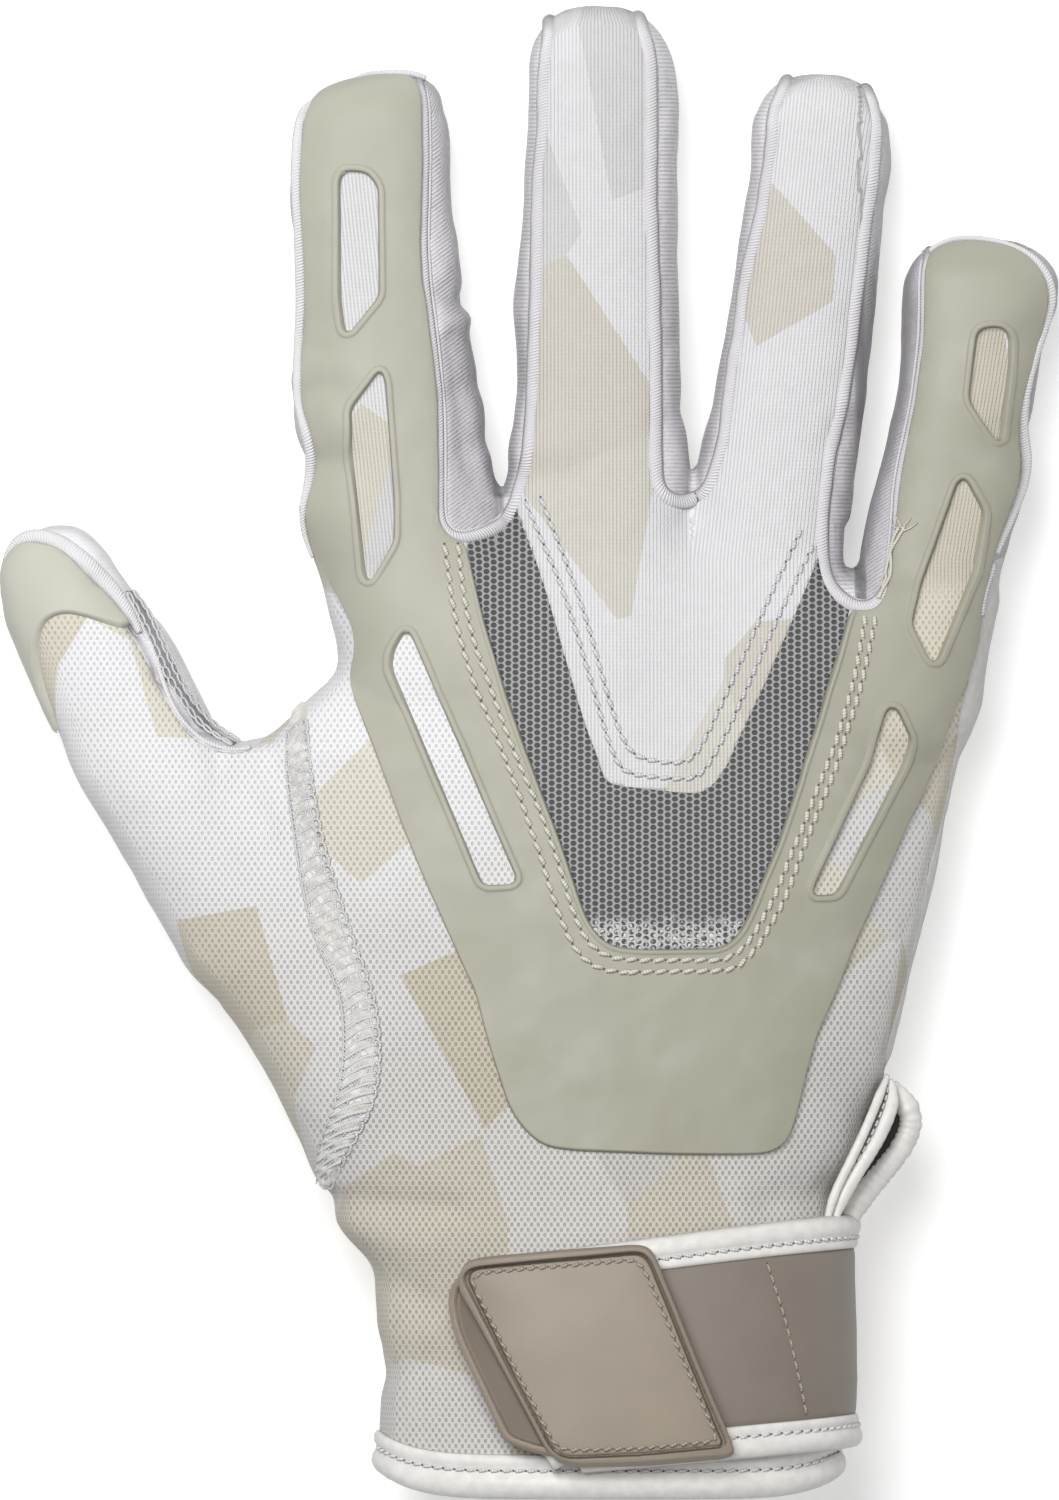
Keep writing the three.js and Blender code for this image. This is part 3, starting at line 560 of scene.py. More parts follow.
def surface_nets(field, xs, ys, zs):
    """A mesh of the field's zero surface: one vertex in each cell that the surface crosses."""
    inside = field < 0
    shape = np.array(field.shape) - 1
    cell = np.zeros(shape, bool)
    total = np.zeros((*shape, 3), np.float32)
    count = np.zeros(shape, np.float32)

    def corner(offset):
        return field[tuple(slice(o, o + n) for o, n in zip(offset, shape))]

    for start in [(a, b, c) for a in (0, 1) for b in (0, 1) for c in (0, 1)]:
        for axis in range(3):
            if start[axis]:
                continue
            end = list(start)
            end[axis] = 1
            a, b = corner(start), corner(end)
            crossed = (a < 0) != (b < 0)
            share = a / np.where(crossed, a - b, 1)
            for d in range(3):
                total[..., d] += np.where(crossed, start[d] + (share if d == axis else 0), 0)
            count += crossed
            cell |= crossed
    number = np.full(shape, -1)
    number[cell] = np.arange(cell.sum())
    place = np.argwhere(cell) + total[cell] / count[cell][:, None]
    axes = (xs, ys, zs)
    verts = np.column_stack([np.interp(place[:, d], np.arange(len(axes[d])), axes[d]) for d in range(3)])
    quads = []
    for axis in range(3):
        a = np.take(inside, range(field.shape[axis] - 1), axis)
        b = np.take(inside, range(1, field.shape[axis]), axis)
        spots = np.argwhere(a != b)
        others = [(axis + 1) % 3, (axis + 2) % 3]
        within_grid = (spots[:, others] > 0) & (spots[:, others] < shape[others])
        spots = spots[within_grid.all(axis=1)]
        ring = []
        for step in ((1, 1), (0, 1), (0, 0), (1, 0)):
            at = spots.copy()
            at[:, others] -= step
            ring.append(number[tuple(at.T)])
        quad = np.column_stack(ring)
        outwards = a[tuple(spots.T)]
        quad[~outwards] = quad[~outwards][:, ::-1]
        quads.append(quad)
    quads = np.concatenate(quads)
    return verts, np.concatenate((quads[:, [0, 1, 2]], quads[:, [0, 2, 3]]))


def relaxed(verts, tris, rounds):
    """Evens the mesh out without shrinking it."""
    edges = np.concatenate((tris[:, [0, 1]], tris[:, [1, 2]], tris[:, [2, 0]]))
    edges = np.unique(np.sort(edges, axis=1), axis=0)
    degree = np.maximum(np.bincount(edges.ravel(), minlength=len(verts))[:, None], 1)
    for step in (0.5, -0.52) * rounds:
        around = np.zeros_like(verts)
        for here, there in (edges.T, edges.T[::-1]):
            for d in range(3):
                around[:, d] += np.bincount(here, verts[there, d], len(verts))
        verts = verts + step * (around / degree - verts)
    return verts


def normals_of(verts, tris):
    a, b, c = (verts[tris[:, k]] for k in range(3))
    face = np.cross(b - a, c - a)
    normal = np.zeros_like(verts)
    for k in range(3):
        for d in range(3):
            normal[:, d] += np.bincount(tris[:, k], face[:, d], len(verts))
    return unit(normal)


# Lines and outlines


def rounded(points, radius, closed=True):
    """A polyline with its corners rounded off, each by at most its edges' halves."""
    points = np.asarray(points, float)
    count = len(points)
    out = []
    for k in range(count):
        if not closed and k in (0, count - 1):
            out.append(points[k])
            continue
        here = points[k]
        before, after = (
            here + (other - here) * min(radius / max(np.linalg.norm(other - here), 1e-9), 0.5)
            for other in (points[k - 1], points[(k + 1) % count])
        )
        for t in (0, 0.25, 0.5, 0.75, 1):
            out.append((1 - t) ** 2 * before + 2 * t * (1 - t) * here + t**2 * after)
    return np.array(out)


def travelled(line):
    """How far along a polyline each of its points lies."""
    return np.concatenate(([0], np.cumsum(np.linalg.norm(np.diff(line, axis=0), axis=1))))


def at_travel(at, travel, values):
    """A path's values at places along it."""
    return np.stack([np.interp(at, travel, column) for column in values.T], axis=-1)


def resampled(line, spacing, closed=False):
    """Points at even steps along a polyline."""
    line = np.asarray(line, float)
    if closed:
        line = np.vstack((line, line[:1]))
    travel = travelled(line)
    count = max(int(round(travel[-1] / spacing)), 2)
    at = np.linspace(0, travel[-1], count + 1)
    return at_travel(at[:-1] if closed else at, travel, line)


def open_line(pixels, radius, step):
    """A line of pixels as a smooth path of even steps in the glove's plan."""
    return resampled(rounded(plan(pixels), radius, False), step)


def line_distance(spots, line, closed=False):
    """Distance from each spot to a polyline."""
    starts, ends = (line, np.roll(line, -1, axis=0)) if closed else (line[:-1], line[1:])
    best = np.full(len(spots), 1e9)
    for a, b in zip(starts, ends):
        way = b - a
        length = way @ way
        if length < 1e-12:
            continue
        t = np.clip(((spots - a) @ way) / length, 0, 1)
        gap = spots - a - t[:, None] * way
        best = np.minimum(best, np.einsum("ij,ij->i", gap, gap))
    return np.sqrt(best)


def inside_outline(spots, outline):
    x, y = spots[:, 0], spots[:, 1]
    inside = np.zeros(len(spots), bool)
    for a, b in zip(outline, np.roll(outline, -1, axis=0)):
        if a[1] == b[1]:
            continue
        crosses = (a[1] > y) != (b[1] > y)
        inside ^= crosses & (x < (b[0] - a[0]) * (y - a[1]) / (b[1] - a[1]) + a[0])
    return inside


def outline_distance(spots, outline):
    """Signed distance to a closed outline, negative inside it and cut off far outside it."""
    low, high = outline.min(axis=0) - FAR, outline.max(axis=0) + FAR
    near = ((spots > low) & (spots < high)).all(axis=1)
    distance = np.full(len(spots), FAR)
    close = spots[near]
    gap = line_distance(close, outline, closed=True)
    distance[near] = np.where(inside_outline(close, outline), -gap, gap)
    return distance


# Cutting a mesh along a field


def split(values, tris, field, level=0.0):
    """Cuts the triangles where the field passes a level. Every column of values is interpolated.
    Returns the values, the triangles below and above the level, and the field at the new points."""
    side = field - level
    side = np.where(np.abs(side) < 1e-4, -1e-4, side)
    above = side > 0
    kinds = above[tris].sum(axis=1)
    cut_tris = tris[(kinds == 1) | (kinds == 2)]
    below_faces, above_faces = [tris[kinds == 0]], [tris[kinds == 3]]
    if len(cut_tris):
        single = (above[cut_tris].sum(axis=1) == 1)[:, None]
        first = np.where(single, above[cut_tris], ~above[cut_tris]).argmax(axis=1)
        rows = np.arange(len(cut_tris))
        a, b, c = (cut_tris[rows, (first + k) % 3] for k in range(3))
        pairs = np.sort(np.concatenate((np.column_stack((a, b)), np.column_stack((a, c)))), axis=1)
        keys, where = np.unique(pairs, axis=0, return_inverse=True)
        where = where.ravel() + len(values)
        t = (side[keys[:, 0]] / (side[keys[:, 0]] - side[keys[:, 1]]))[:, None]
        fresh = values[keys[:, 0]] * (1 - t) + values[keys[:, 1]] * t
        values = np.concatenate((values, fresh))
        field = np.concatenate((field, np.full(len(fresh), level)))
        ab, ac = np.split(where, 2)
        tip = np.column_stack((a, ab, ac))
        rest = np.concatenate((np.column_stack((ab, b, c)), np.column_stack((ab, c, ac))))
        tip_above = above[a]
        rest_below = np.tile(tip_above, 2)
        above_faces += [tip[tip_above], rest[~rest_below]]
        below_faces += [tip[~tip_above], rest[rest_below]]
    return values, np.concatenate(below_faces), np.concatenate(above_faces), field


def scored(values, tris, field, levels):
    """Adds edges to a mesh where the field passes each level."""
    for level in levels:
        values, below, above, field = split(values, tris, field, level)
        tris = np.concatenate((below, above))
    return values, tris


def compact(values, tris):
    used = np.unique(tris)
    number = np.full(len(values), -1)
    number[used] = np.arange(len(used))
    return values[used], number[tris]


# Mesh objects


def new_object(name, verts, faces, node, slot, uv=None, smooth=True):
    """A Blender object from millimetres, riding on the glove."""
    mesh = bpy.data.meshes.new(name)
    mesh.from_pydata((np.asarray(verts) * METRE).tolist(), [], [tuple(map(int, f)) for f in faces])
    if smooth:
        mesh.polygons.foreach_set("use_smooth", [True] * len(mesh.polygons))
    if uv is not None:
        layer = mesh.uv_layers.new(name="cloth")
        loops = np.empty(len(mesh.loops), int)
        mesh.loops.foreach_get("vertex_index", loops)
        layer.data.foreach_set("uv", np.asarray(uv, float)[loops].ravel())
    mesh.update()
    piece = bpy.data.objects.new(name, mesh)
    bpy.context.scene.collection.objects.link(piece)
    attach(piece, "root")
    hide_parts(*([node] if isinstance(node, str) else node))
    return piece


def thicken(piece, thickness):
    wall = piece.modifiers.new("wall", "SOLIDIFY")
    wall.thickness = thickness * METRE
    wall.offset = -1
    wall.use_rim = True
    return piece


def ring_faces(rings, sides, closed=False, flipped=False):
    """Faces of a skin over rings of points, with its two ends closed unless the rings run in a loop."""
    faces = []
    for k in range(rings if closed else rings - 1):
        here, there = k * sides, (k + 1) % rings * sides
        for s in range(sides):
            t = (s + 1) % sides
            face = (here + s, here + t, there + t, there + s)
            faces.append((face[0], *face[:0:-1]) if flipped else face)
    if not closed:
        way = 1 if flipped else -1
        faces.append(tuple(range(sides))[::way])
        faces.append(tuple(range((rings - 1) * sides, rings * sides))[::-way])
    return faces


def tube(path, radius, sides=8, flat=1.0, flat_way=(0, 0, 1.0)):
    """Vertices, faces and uv of a tube along a path. Flat is its height over its width."""
    path = np.asarray(path, float)
    count = len(path)
    radius = np.broadcast_to(np.asarray(radius, float), (count,))
    ahead = unit(np.gradient(path, axis=0))
    side = unit(np.cross(ahead, np.broadcast_to(flat_way, path.shape)))
    lift = np.cross(side, ahead)
    angle = np.linspace(0, 2 * math.pi, sides, endpoint=False)
    ring = side[:, None] * np.cos(angle)[:, None] + lift[:, None] * np.sin(angle)[:, None] * flat
    verts = (path[:, None, :] + ring * radius[:, None, None]).reshape(-1, 3)
    uv = np.column_stack((np.repeat(travelled(path), sides), np.tile(angle * radius.mean(), count)))
    return verts, ring_faces(count, sides), uv


def merged(parts):
    """Several (vertices, faces, uv) as one."""
    verts, faces, uvs, start = [], [], [], 0
    for part_verts, part_faces, part_uv in parts:
        verts.append(part_verts)
        uvs.append(part_uv)
        faces += [tuple(i + start for i in face) for face in part_faces]
        start += len(part_verts)
    return np.concatenate(verts), faces, np.concatenate(uvs)


def joined(name, parts, node, slot="seam_thread"):
    """Several tubes or stitches as one piece."""
    verts, faces, uv = merged(parts)
    return new_object(name, verts, faces, node, slot, uv)


# The body and its seams

body_verts, body_tris = surface_nets(*body_field())
body_verts = relaxed(body_verts, body_tris, 3)


def folded(verts, normals):
    """The body with its soft folds and a faint unevenness."""
    push = np.zeros(len(verts))
    for x0, y0, x1, y1, width, depth in FOLDS:
        gap = line_distance(verts[:, :2], plan([(x0, y0), (x1, y1)]))
        push += depth * np.exp(-((gap / width) ** 2)) * (normals[:, 2] > -0.3)
    wave = noise_at(verts, 9.0) + 0.5 * noise_at(verts, 3.5)
    resting = np.clip(verts[:, 2] / 3, 0, 1)
    return verts + normals * ((push + 0.22 * wave) * resting)[:, None]


def cloth_coordinates(verts, normals):
    """Millimetres across and along the cloth's threads, which follow each finger and go down its sides."""
    x, y, z = verts.T
    column = column_of(x)
    ahead = np.clip(y - up(KNUCKLE_ROW), 0, None)
    lean = np.select([column < 497, column < 690, column < 860], [-0.105, 0.0, 0.105], 0.165)
    shoulder = np.interp(y, [-90, 30, 60], [30, 18, 13])
    down = np.clip(2.5 * normals[:, 0], -1, 1) * np.clip(shoulder - z, 0, None)
    return np.column_stack((x - lean * ahead + down, y))


body_verts = folded(body_verts, normals_of(body_verts, body_tris))
top_side = rounded(plan(TOP_SIDE), 12 * PIXEL)
top_gap = outline_distance(body_verts[:, :2], top_side)
seam_dip = SEAM_DIP * np.exp(-((top_gap / 0.7) ** 2)) * (body_verts[:, 2] > PALM_SEAM)
body_verts -= normals_of(body_verts, body_tris) * seam_dip[:, None]

# The body's values at each point: its place, its place on the cloth and its normal

X, Y, Z, U, V = range(5)
NORMAL = slice(5, 8)
body_normals = normals_of(body_verts, body_tris)
body_whole = np.column_stack((body_verts, cloth_coordinates(body_verts, body_normals), body_normals))
body_tree = BVHTree.FromPolygons(body_verts.tolist(), body_tris.tolist())


def from_above(x, y):
    """The body's top and its normal at a place in plan, or None twice past its side."""
    return body_tree.ray_cast(Vector((x, y, ABOVE)), Vector((0, 0, -1)))[:2]


def height_map():
    """Heights of the body's top on a grid in plan, and the grid's corner. The edge's heights are carried
    outwards, so that the map can be read just past the edge."""
    low, high = body_verts[:, :2].min(axis=0) - 2, body_verts[:, :2].max(axis=0) + 2
    xs, ys = (np.arange(low[d], high[d], MAP_STEP) for d in range(2))
    hits = [[from_above(x, y)[0] for y in ys] for x in xs]
    grid = np.array([[np.nan if hit is None else hit.z for hit in row] for row in hits])
    for _ in range(14):
        padded = np.pad(grid, 1, constant_values=np.nan)
        around = np.lib.stride_tricks.sliding_window_view(padded, (3, 3)).reshape(*grid.shape, 9)
        known = ~np.isnan(around)
        mean = np.where(known, around, 0).sum(axis=-1) / np.maximum(known.sum(axis=-1), 1)
        grid = np.where(np.isnan(grid) & known.any(axis=-1), mean - 0.6, grid)
    return np.where(np.isnan(grid), 0, grid), low


top_grid, grid_low = height_map()


def within(outline):
    """A field over the body's values: the signed distance to an outline in plan."""
    return lambda values: outline_distance(values[:, :2], outline)


def hem_rise(x):
    """How far the hem stands back at the wrist's sides."""
    return 5.2 * np.clip(np.abs(x - WRIST_AXIS[0]) / 37.5, 0, 1) ** 7


def field_palm(values):
    """Negative on the palm's leather, which also wraps up the little finger's side."""
    x, y, z = values[:, :3].T
    row = row_of(y)
    little_side = np.where(x > 27 + 20 * (row < 850), 0.0, 50.0)
    climb = PALM_SEAM + 30 * np.clip((row - 545) / 45, 0, 1) * (row < 1075)
    wrapped = np.maximum(z - climb, -within(top_side)(values)) + little_side
    wrist = np.maximum(z - 16.5, np.maximum((1060 - row) * PIXEL, 12 - x))
    return np.minimum(z - PALM_SEAM, np.minimum(wrapped, wrist))


def field_vent(values):
    side = outline_distance(values[:, [Y, Z]], rounded(VENT_HOLE, 3))
    return np.where(values[:, X] > 22, side, 5.0)


def cut(values, tris, make_field):
    """Splits a mesh by a field that is worked out from its values."""
    return split(values, tris, make_field(values))[:3]


# Cloth and leather panels

panels = {}


def panel(name, values, tris, slot, thickness=CLOTH):
    values, tris = compact(values, tris)
    panels[name] = thicken(new_object(name, values[:, :3], tris, name, slot, values[:, [U, V]]), thickness)


body, cuff, _ = cut(body_whole, body_tris, lambda v: up(HEM_ROW) + hem_rise(v[:, X]) - v[:, Y])
body, palm_tris, back_tris = cut(body, cuff, field_palm)
body, _, back_tris = cut(body, back_tris, field_vent)
palm_body, _, palm_tris = cut(body, palm_tris, field_vent)
panel("palm", palm_body, palm_tris, "palm_leather")
back_body = compact(body, back_tris)
body, top_tris, strip_tris = cut(body, back_tris, within(top_side))
mesh_outline = rounded(plan(MESH), 14 * PIXEL)
THUMB_SIDE = [(292, 400), *THUMB_SEAM, (300, 1230), (-200, 1300), (-200, 400)]
PANELS = [
    ("thumb_side_strip", rounded(plan(THUMB_STRIP), 20 * PIXEL), "stretch_satin", CLOTH),
    ("thumb_wrap", plan(THUMB_SIDE), "pattern_knit", CLOTH),
    ("knuckle_panel", rounded(plan(KNUCKLE), 14 * PIXEL), "pattern_knit", CLOTH),
    ("vent_mesh", mesh_outline, "open_mesh", MESH_CLOTH),
]
for name, outline, slot, thickness in PANELS:
    body, panel_tris, top_tris = cut(body, top_tris, within(outline))
    panel(name, body, panel_tris, slot, thickness)
panel("back_panel", body, top_tris, "pattern_knit")

# Side strips of the fingers, by the pixel column where each begins

STRIPS = {
    "side_strip_index_outer": 0,
    "side_strip_index_middle": 380,
    "side_strip_middle_ring": 600,
    "side_strip_ring_little": 790,
    "side_strip_little_outer": 950,
}
strip_number = np.searchsorted(list(STRIPS.values()), column_of(body[strip_tris].mean(axis=1)[:, X]), "right")
for number, name in enumerate(STRIPS, 1):
    panel(name, body, strip_tris[strip_number == number], "stretch_satin")


def on_body(line, lift=0.0, calm=2, steady=0):
    """Plan points laid on the body from above, off it by the lift, with their normals. Points past its side
    come down it. The line is smoothed for some rounds, and then its heights alone for some more."""
    laid = []
    for x, y in np.asarray(line, float)[:, :2]:
        hit, normal = from_above(x, y)
        if hit is None:
            hit, normal = body_tree.find_nearest(Vector((x, y, 11)))[:2]
        laid.append((*hit, *normal))
    laid = np.array(laid)
    calmed(laid, calm)
    spots, normals = laid[:, :3], unit(laid[:, 3:])
    calmed(spots[:, 2], steady)
    return spots + normals * np.reshape(lift, (-1, 1)), normals


def seam_line(pixels, lift=0.0, calm=3, steady=0, *, radius=3, step=0.5):
    """A line of pixels laid on the body as a smooth path, with its normals."""
    return on_body(open_line(pixels, radius, step), lift, calm, steady)


def on_top(spots, grid):
    """Height of a map over spots in plan."""
    at = np.clip((spots - grid_low) / MAP_STEP, 0, np.array(grid.shape) - 1.001)
    i, j = at.astype(int).T
    s, t = (at - np.column_stack((i, j))).T
    return bilinear(grid, i, j, s, t)


# Stitches

CAPSULE_RINGS = [
    (-0.5, 0.45, -1.0), (-0.36, 0.95, -0.25), (0, 1.0, 0.0), (0.36, 0.95, -0.25), (0.5, 0.45, -1.0),
]
CAPSULE_SIDES = 6
HOLE_SIDES = 7


def capsule(centre, way, upward, length, radius):
    """One stitch: a short bowed thread whose ends dip into the cloth."""
    side = np.cross(way, upward)
    angle = np.linspace(0, 2 * math.pi, CAPSULE_SIDES, endpoint=False)
    verts = []
    for along, width, drop in CAPSULE_RINGS:
        middle = centre + way * along * length + upward * drop * radius * 1.7
        for a in angle:
            verts.append(middle + (side * math.cos(a) + upward * math.sin(a)) * radius * width)
    rings = len(CAPSULE_RINGS)
    travel = np.repeat([ring[0] * length for ring in CAPSULE_RINGS], CAPSULE_SIDES)
    uv = np.column_stack((travel, np.tile(angle * radius, rings)))
    return np.array(verts), ring_faces(rings, CAPSULE_SIDES, flipped=True), uv


def needle_hole(centre, upward, radius):
    """A flat dark bead, let into the cloth."""
    side = unit(np.cross(upward, [1, 0, 0]))
    across = np.cross(side, upward)
    angle = np.linspace(0, 2 * math.pi, HOLE_SIDES, endpoint=False)
    rim = [centre + (side * math.cos(a) + across * math.sin(a)) * radius for a in angle]
    faces = [(k, (k + 1) % HOLE_SIDES, HOLE_SIDES) for k in range(HOLE_SIDES)]
    return np.array(rim + [centre + upward * 0.12]), faces, np.zeros((HOLE_SIDES + 1, 2))


def stitch_row(points, normals, pitch=2.1, radius=0.27, slant=0.0, share=0.8):
    """Stitches and the needle holes between them, along points that lie on a surface."""
    travel = travelled(points)
    threads, holes = [], []
    for k in range(2 * max(int(travel[-1] / pitch), 1) + 2):
        at = k * pitch / 2
        if at > travel[-1]:
            continue
        centre, upward = at_travel(at, travel, points), unit(at_travel(at, travel, normals))
        if k % 2 == 0:
            holes.append(needle_hole(centre - upward * 0.03, upward, radius * 0.8))
            continue
        ahead, behind = (at_travel(place, travel, points) for place in (at + 0.3, at - 0.3))
        way = unit(ahead - behind)
        way = unit(way + np.cross(upward, way) * slant)
        threads.append(capsule(centre + upward * radius * 0.7, way, upward, pitch * share, radius))
    return threads, holes


def sewn(name, rows, node, slot="seam_thread"):
    """The stitches of several rows as one piece, and their needle holes as another."""
    threads, holes = ([part for row in rows for part in row[kind]] for kind in range(2))
    stitches = joined(name, threads, node, slot)
    verts, faces, _ = merged(holes)
    return stitches, new_object(name + "_holes", verts, faces, node, slot, smooth=False)


# Rubber and tape: sheets raised from the body's own surface

EDGE_LEVELS = (-0.04, -0.12, -0.2, -0.3, -0.45, -0.7, -0.9, -1.02, -1.14, -1.3)
TAPE_LEVELS = (-0.25, -0.6, -1.0, -1.5, -2.0)
GATHER = 2.3
windows = [rounded(plan(points), 1.1) for points in WINDOWS.values()]
overlay_outline = rounded(plan(OVERLAY), 1.6)
cap_outline = rounded(plan(THUMB_CAP), 1.2)
tape_outline = rounded(plan(TAPE), 3)


def skin(name, outline_field, levels, height, slot, source):
    """A sheet over the body: the part of its surface where the field is negative, raised by a height."""
    values, tris = source
    values, tris, _, field = split(values, tris, outline_field(values))
    values, tris = compact(*scored(values, tris, field, levels))
    lift = height(values, -outline_field(values))
    verts = values[:, :3] + unit(values[:, NORMAL]) * lift[:, None]
    return new_object(name, verts, tris, name, slot, values[:, [U, V]])


def round_edge(inwards, thickness, radius):
    """Height of a sheet with a rounded edge, at a distance inwards. It starts just under the cloth."""
    share = 1 - np.clip(inwards / radius, 0, 1)
    return thickness * np.sqrt(np.maximum(1 - share**2, 0)) - 0.12 * share


def window_gap(values):
    return np.minimum.reduce([within(outline)(values) for outline in windows])


def overlay_field(values):
    return np.maximum(within(overlay_outline)(values), -window_gap(values))


def overlay_height(values, inwards):
    """Rounded at its edges, with a raised lip round each window and along the mesh."""
    lip = np.exp(-(((window_gap(values) - 0.62) / 0.46) ** 6))
    rim = within(mesh_outline)(values)
    lip = np.maximum(lip, 0.9 * np.exp(-(((rim - 0.55) / 0.32) ** 4)) * (values[:, Y] < 50))
    return round_edge(inwards, RUBBER, 0.3) + LIP * lip * (inwards > 0.1)


def cap_field(values):
    return np.maximum(within(cap_outline)(values), PALM_SEAM + 1.5 - values[:, Z])


def cap_height(values, inwards):
    lip = np.exp(-(((inwards - 0.5) / 0.3) ** 2)) * (values[:, Y] < 47)
    return round_edge(inwards, RUBBER, 0.5) + 0.4 * LIP * lip


def tape_height(values, inwards):
    """Gathers run across the tape, weak at the web and deep near the wrist."""
    gather = 0.10 + 0.16 * stepped((-values[:, Y] - 5) / 30)
    wave = np.sin(values[:, Y] * 2 * math.pi / GATHER + 1.2 * np.sin(values[:, X]))
    return round_edge(inwards, 0.5, 0.7) + gather * wave * stepped((inwards - 0.3) / 0.8)


whole = (body_whole, body_tris)
overlay = skin("rubber_overlay", overlay_field, EDGE_LEVELS, overlay_height, "overlay_rubber", back_body)
thumb_cap = skin("thumb_cap", cap_field, EDGE_LEVELS[1:6], cap_height, "overlay_rubber", whole)
tape = skin("seam_tape", within(tape_outline), TAPE_LEVELS, tape_height, "seam_thread", whole)

# Rolled seams along the fingers. They stay thin beside the rubber.

SPREAD = 13


def runs_of(wanted):
    """The unbroken runs of a closed line's wanted points."""
    for start in np.flatnonzero(wanted & ~np.roll(wanted, 1)):
        run = [start]
        while wanted[(run[-1] + 1) % len(wanted)]:
            run.append((run[-1] + 1) % len(wanted))
        yield run


top_line = resampled(top_side, 0.55, closed=True)
across, along = top_line.T
outer_side = (across < -46) | ((across > 53) & (along > up(560))) | (across > 62)
on_top_side = np.array([from_above(x, y)[0] is not None for x, y in top_line])
rolls, edge_threads = [], []
for run in runs_of(on_top_side & (along > up(618)) & ~outer_side):
    if len(run) < 8:
        continue
    points, normals = on_body(top_line[run], calm=4)
    outwards = np.cross(unit(np.gradient(points, axis=0)), normals)
    near = stepped(1 - np.abs(outline_distance(points[:, :2], overlay_outline)) / 2.5)
    beside = near * (points[:, 1] > up(560))
    spread = np.convolve(np.pad(beside, SPREAD // 2, mode="edge"), np.ones(SPREAD) / SPREAD, mode="valid")
    bulk = 1 - 0.6 * spread
    radius = (1.2 + 0.16 * noise_at(points, 3.0)) * bulk
    rolls.append(tube(points + outwards * 0.5 * bulk[:, None], radius, 12, 0.9, normals))
    edge_threads.append(tube(points - outwards * 0.62 + normals * 0.05, 0.27, 6))
finger_seams = joined("finger_seams", rolls, list(STRIPS))
seam_edges = joined("finger_seam_edges", edge_threads, list(STRIPS))

# Rolls along the outer sides and round the tips, and on the thumb

side_rolls = []
for name, rows in SIDE_ROLLS.items():
    rows = np.array(rows, float)
    path = resampled(rounded(np.column_stack((plan(rows), rows[:, 2])), 2.5, False), 0.4)
    points, normals = on_body(path, 0.25 + 0.9 * np.clip(0.75 - path[:, 2], 0, None), 6, 60)
    side_rolls.append(joined(name + "_roll", [tube(points, path[:, 2], 10)], name))
points, normals = seam_line(THUMB_ROLL, 0.35, 6, 20)
girth = np.interp(np.arange(len(points)) / len(points), [0, 0.12, 0.7, 1], [0.8, 1.35, 1.4, 0.5])
thumb_roll = tube(points, girth, 12, 0.85, normals)
points, normals = seam_line(THUMB_BINDING, 0.12, 6, 12)
thumb_binding = tube(points, 0.42, 8, 0.9, normals)
thumb_seams = joined("thumb_seams", [thumb_roll, thumb_binding], "thumb_side_strip")

# Stitches on the overlay, the knuckle panel, the tape and the thumb

OVERLAY_STITCH = {"pitch": 2.1, "radius": 0.37, "slant": 0.25, "share": 0.9}
KNUCKLE_STITCH = {"pitch": 1.95, "radius": 0.34, "slant": 0.2, "share": 0.88}
rows = [stitch_row(*seam_line(line, RUBBER, step=0.7), **OVERLAY_STITCH) for line in OVERLAY_SEAMS.values()]
overlay_stitches = sewn("overlay_stitches", rows, "rubber_overlay")
rows = [stitch_row(*seam_line(line, step=0.7), **KNUCKLE_STITCH) for line in KNUCKLE_SEAMS.values()]
knuckle_stitches = sewn("knuckle_stitches", rows, "knuckle_panel")


def chain(line, pitch, width, lift, radius):
    """Chain stitch: a loop for each step, each starting in the one before."""
    points, normals = seam_line(line, lift, radius=4, step=pitch)
    turn = np.linspace(0.15, 2 * math.pi - 0.15, 13)[:, None]
    loops = []
    for a, b, upward in zip(points[:-1], points[1:], normals):
        ahead = (b - a) * 0.72**2 * (1 - np.cos(turn))
        side = np.cross(unit(b - a), upward)
        loop = a + ahead + side * width * np.sin(turn) / 2 + upward * 0.12 * np.cos(turn)
        loops.append(tube(loop, radius, 6))
    return loops


def tape_line(share):
    """A line down the tape, from its left edge at 0 to its right edge at 1."""
    left, right = (np.array(side, float) for side in (TAPE_LEFT, TAPE_RIGHT))
    return (1 - share) * left + share * right


tape_threads = chain(tape_line(0.08), 1.5, 0.55, 0.5, 0.17) + chain(tape_line(0.93), 1.85, 1.2, 0.5, 0.22)
for share in (0.24, 0.38, 0.52, 0.66, 0.8):
    points, _ = seam_line(tape_line(share), 0.5, radius=4, step=0.6)
    points[:, 0] += 0.3 * np.sin(np.arange(len(points)) * 0.6 * 2 * math.pi / GATHER + 9 * share)
    tape_threads.append(tube(points, 0.12, 6))
for a, b in zip(*(open_line(tape_line(share), 4, 1.45) for share in (0.05, 0.95))):
    rung = np.linspace(a, b, 9)
    rung[:, 1] += 0.5 * np.sin(np.linspace(0, math.pi, 9))
    points, _ = on_body(rung, 0.52, calm=1)
    tape_threads.append(tube(points, 0.13 + 0.17 * stepped((-a[1] - 8) / 22), 6))
tape_stitches = joined("tape_stitches", tape_threads, "seam_tape")

points, normals = seam_line(CHAIN_BED, -0.1, 6, 12, radius=4)
bed = joined("thumb_chain_bed", [tube(points, 1.15, 12, 0.35, normals)], "thumb_side_strip", "stretch_satin")
chain_lines = [[(column + shift, row - shift / 2) for column, row in CHAIN_BED] for shift in (-4, 4)]
loops = [loop for line in chain_lines for loop in chain(line, 1.75, 0.95, 0.42, 0.19)]
thumb_stitches = joined("thumb_stitches", loops, "thumb_side_strip")

# A loose end of thread on the overlay, of two strands, frayed at its tip

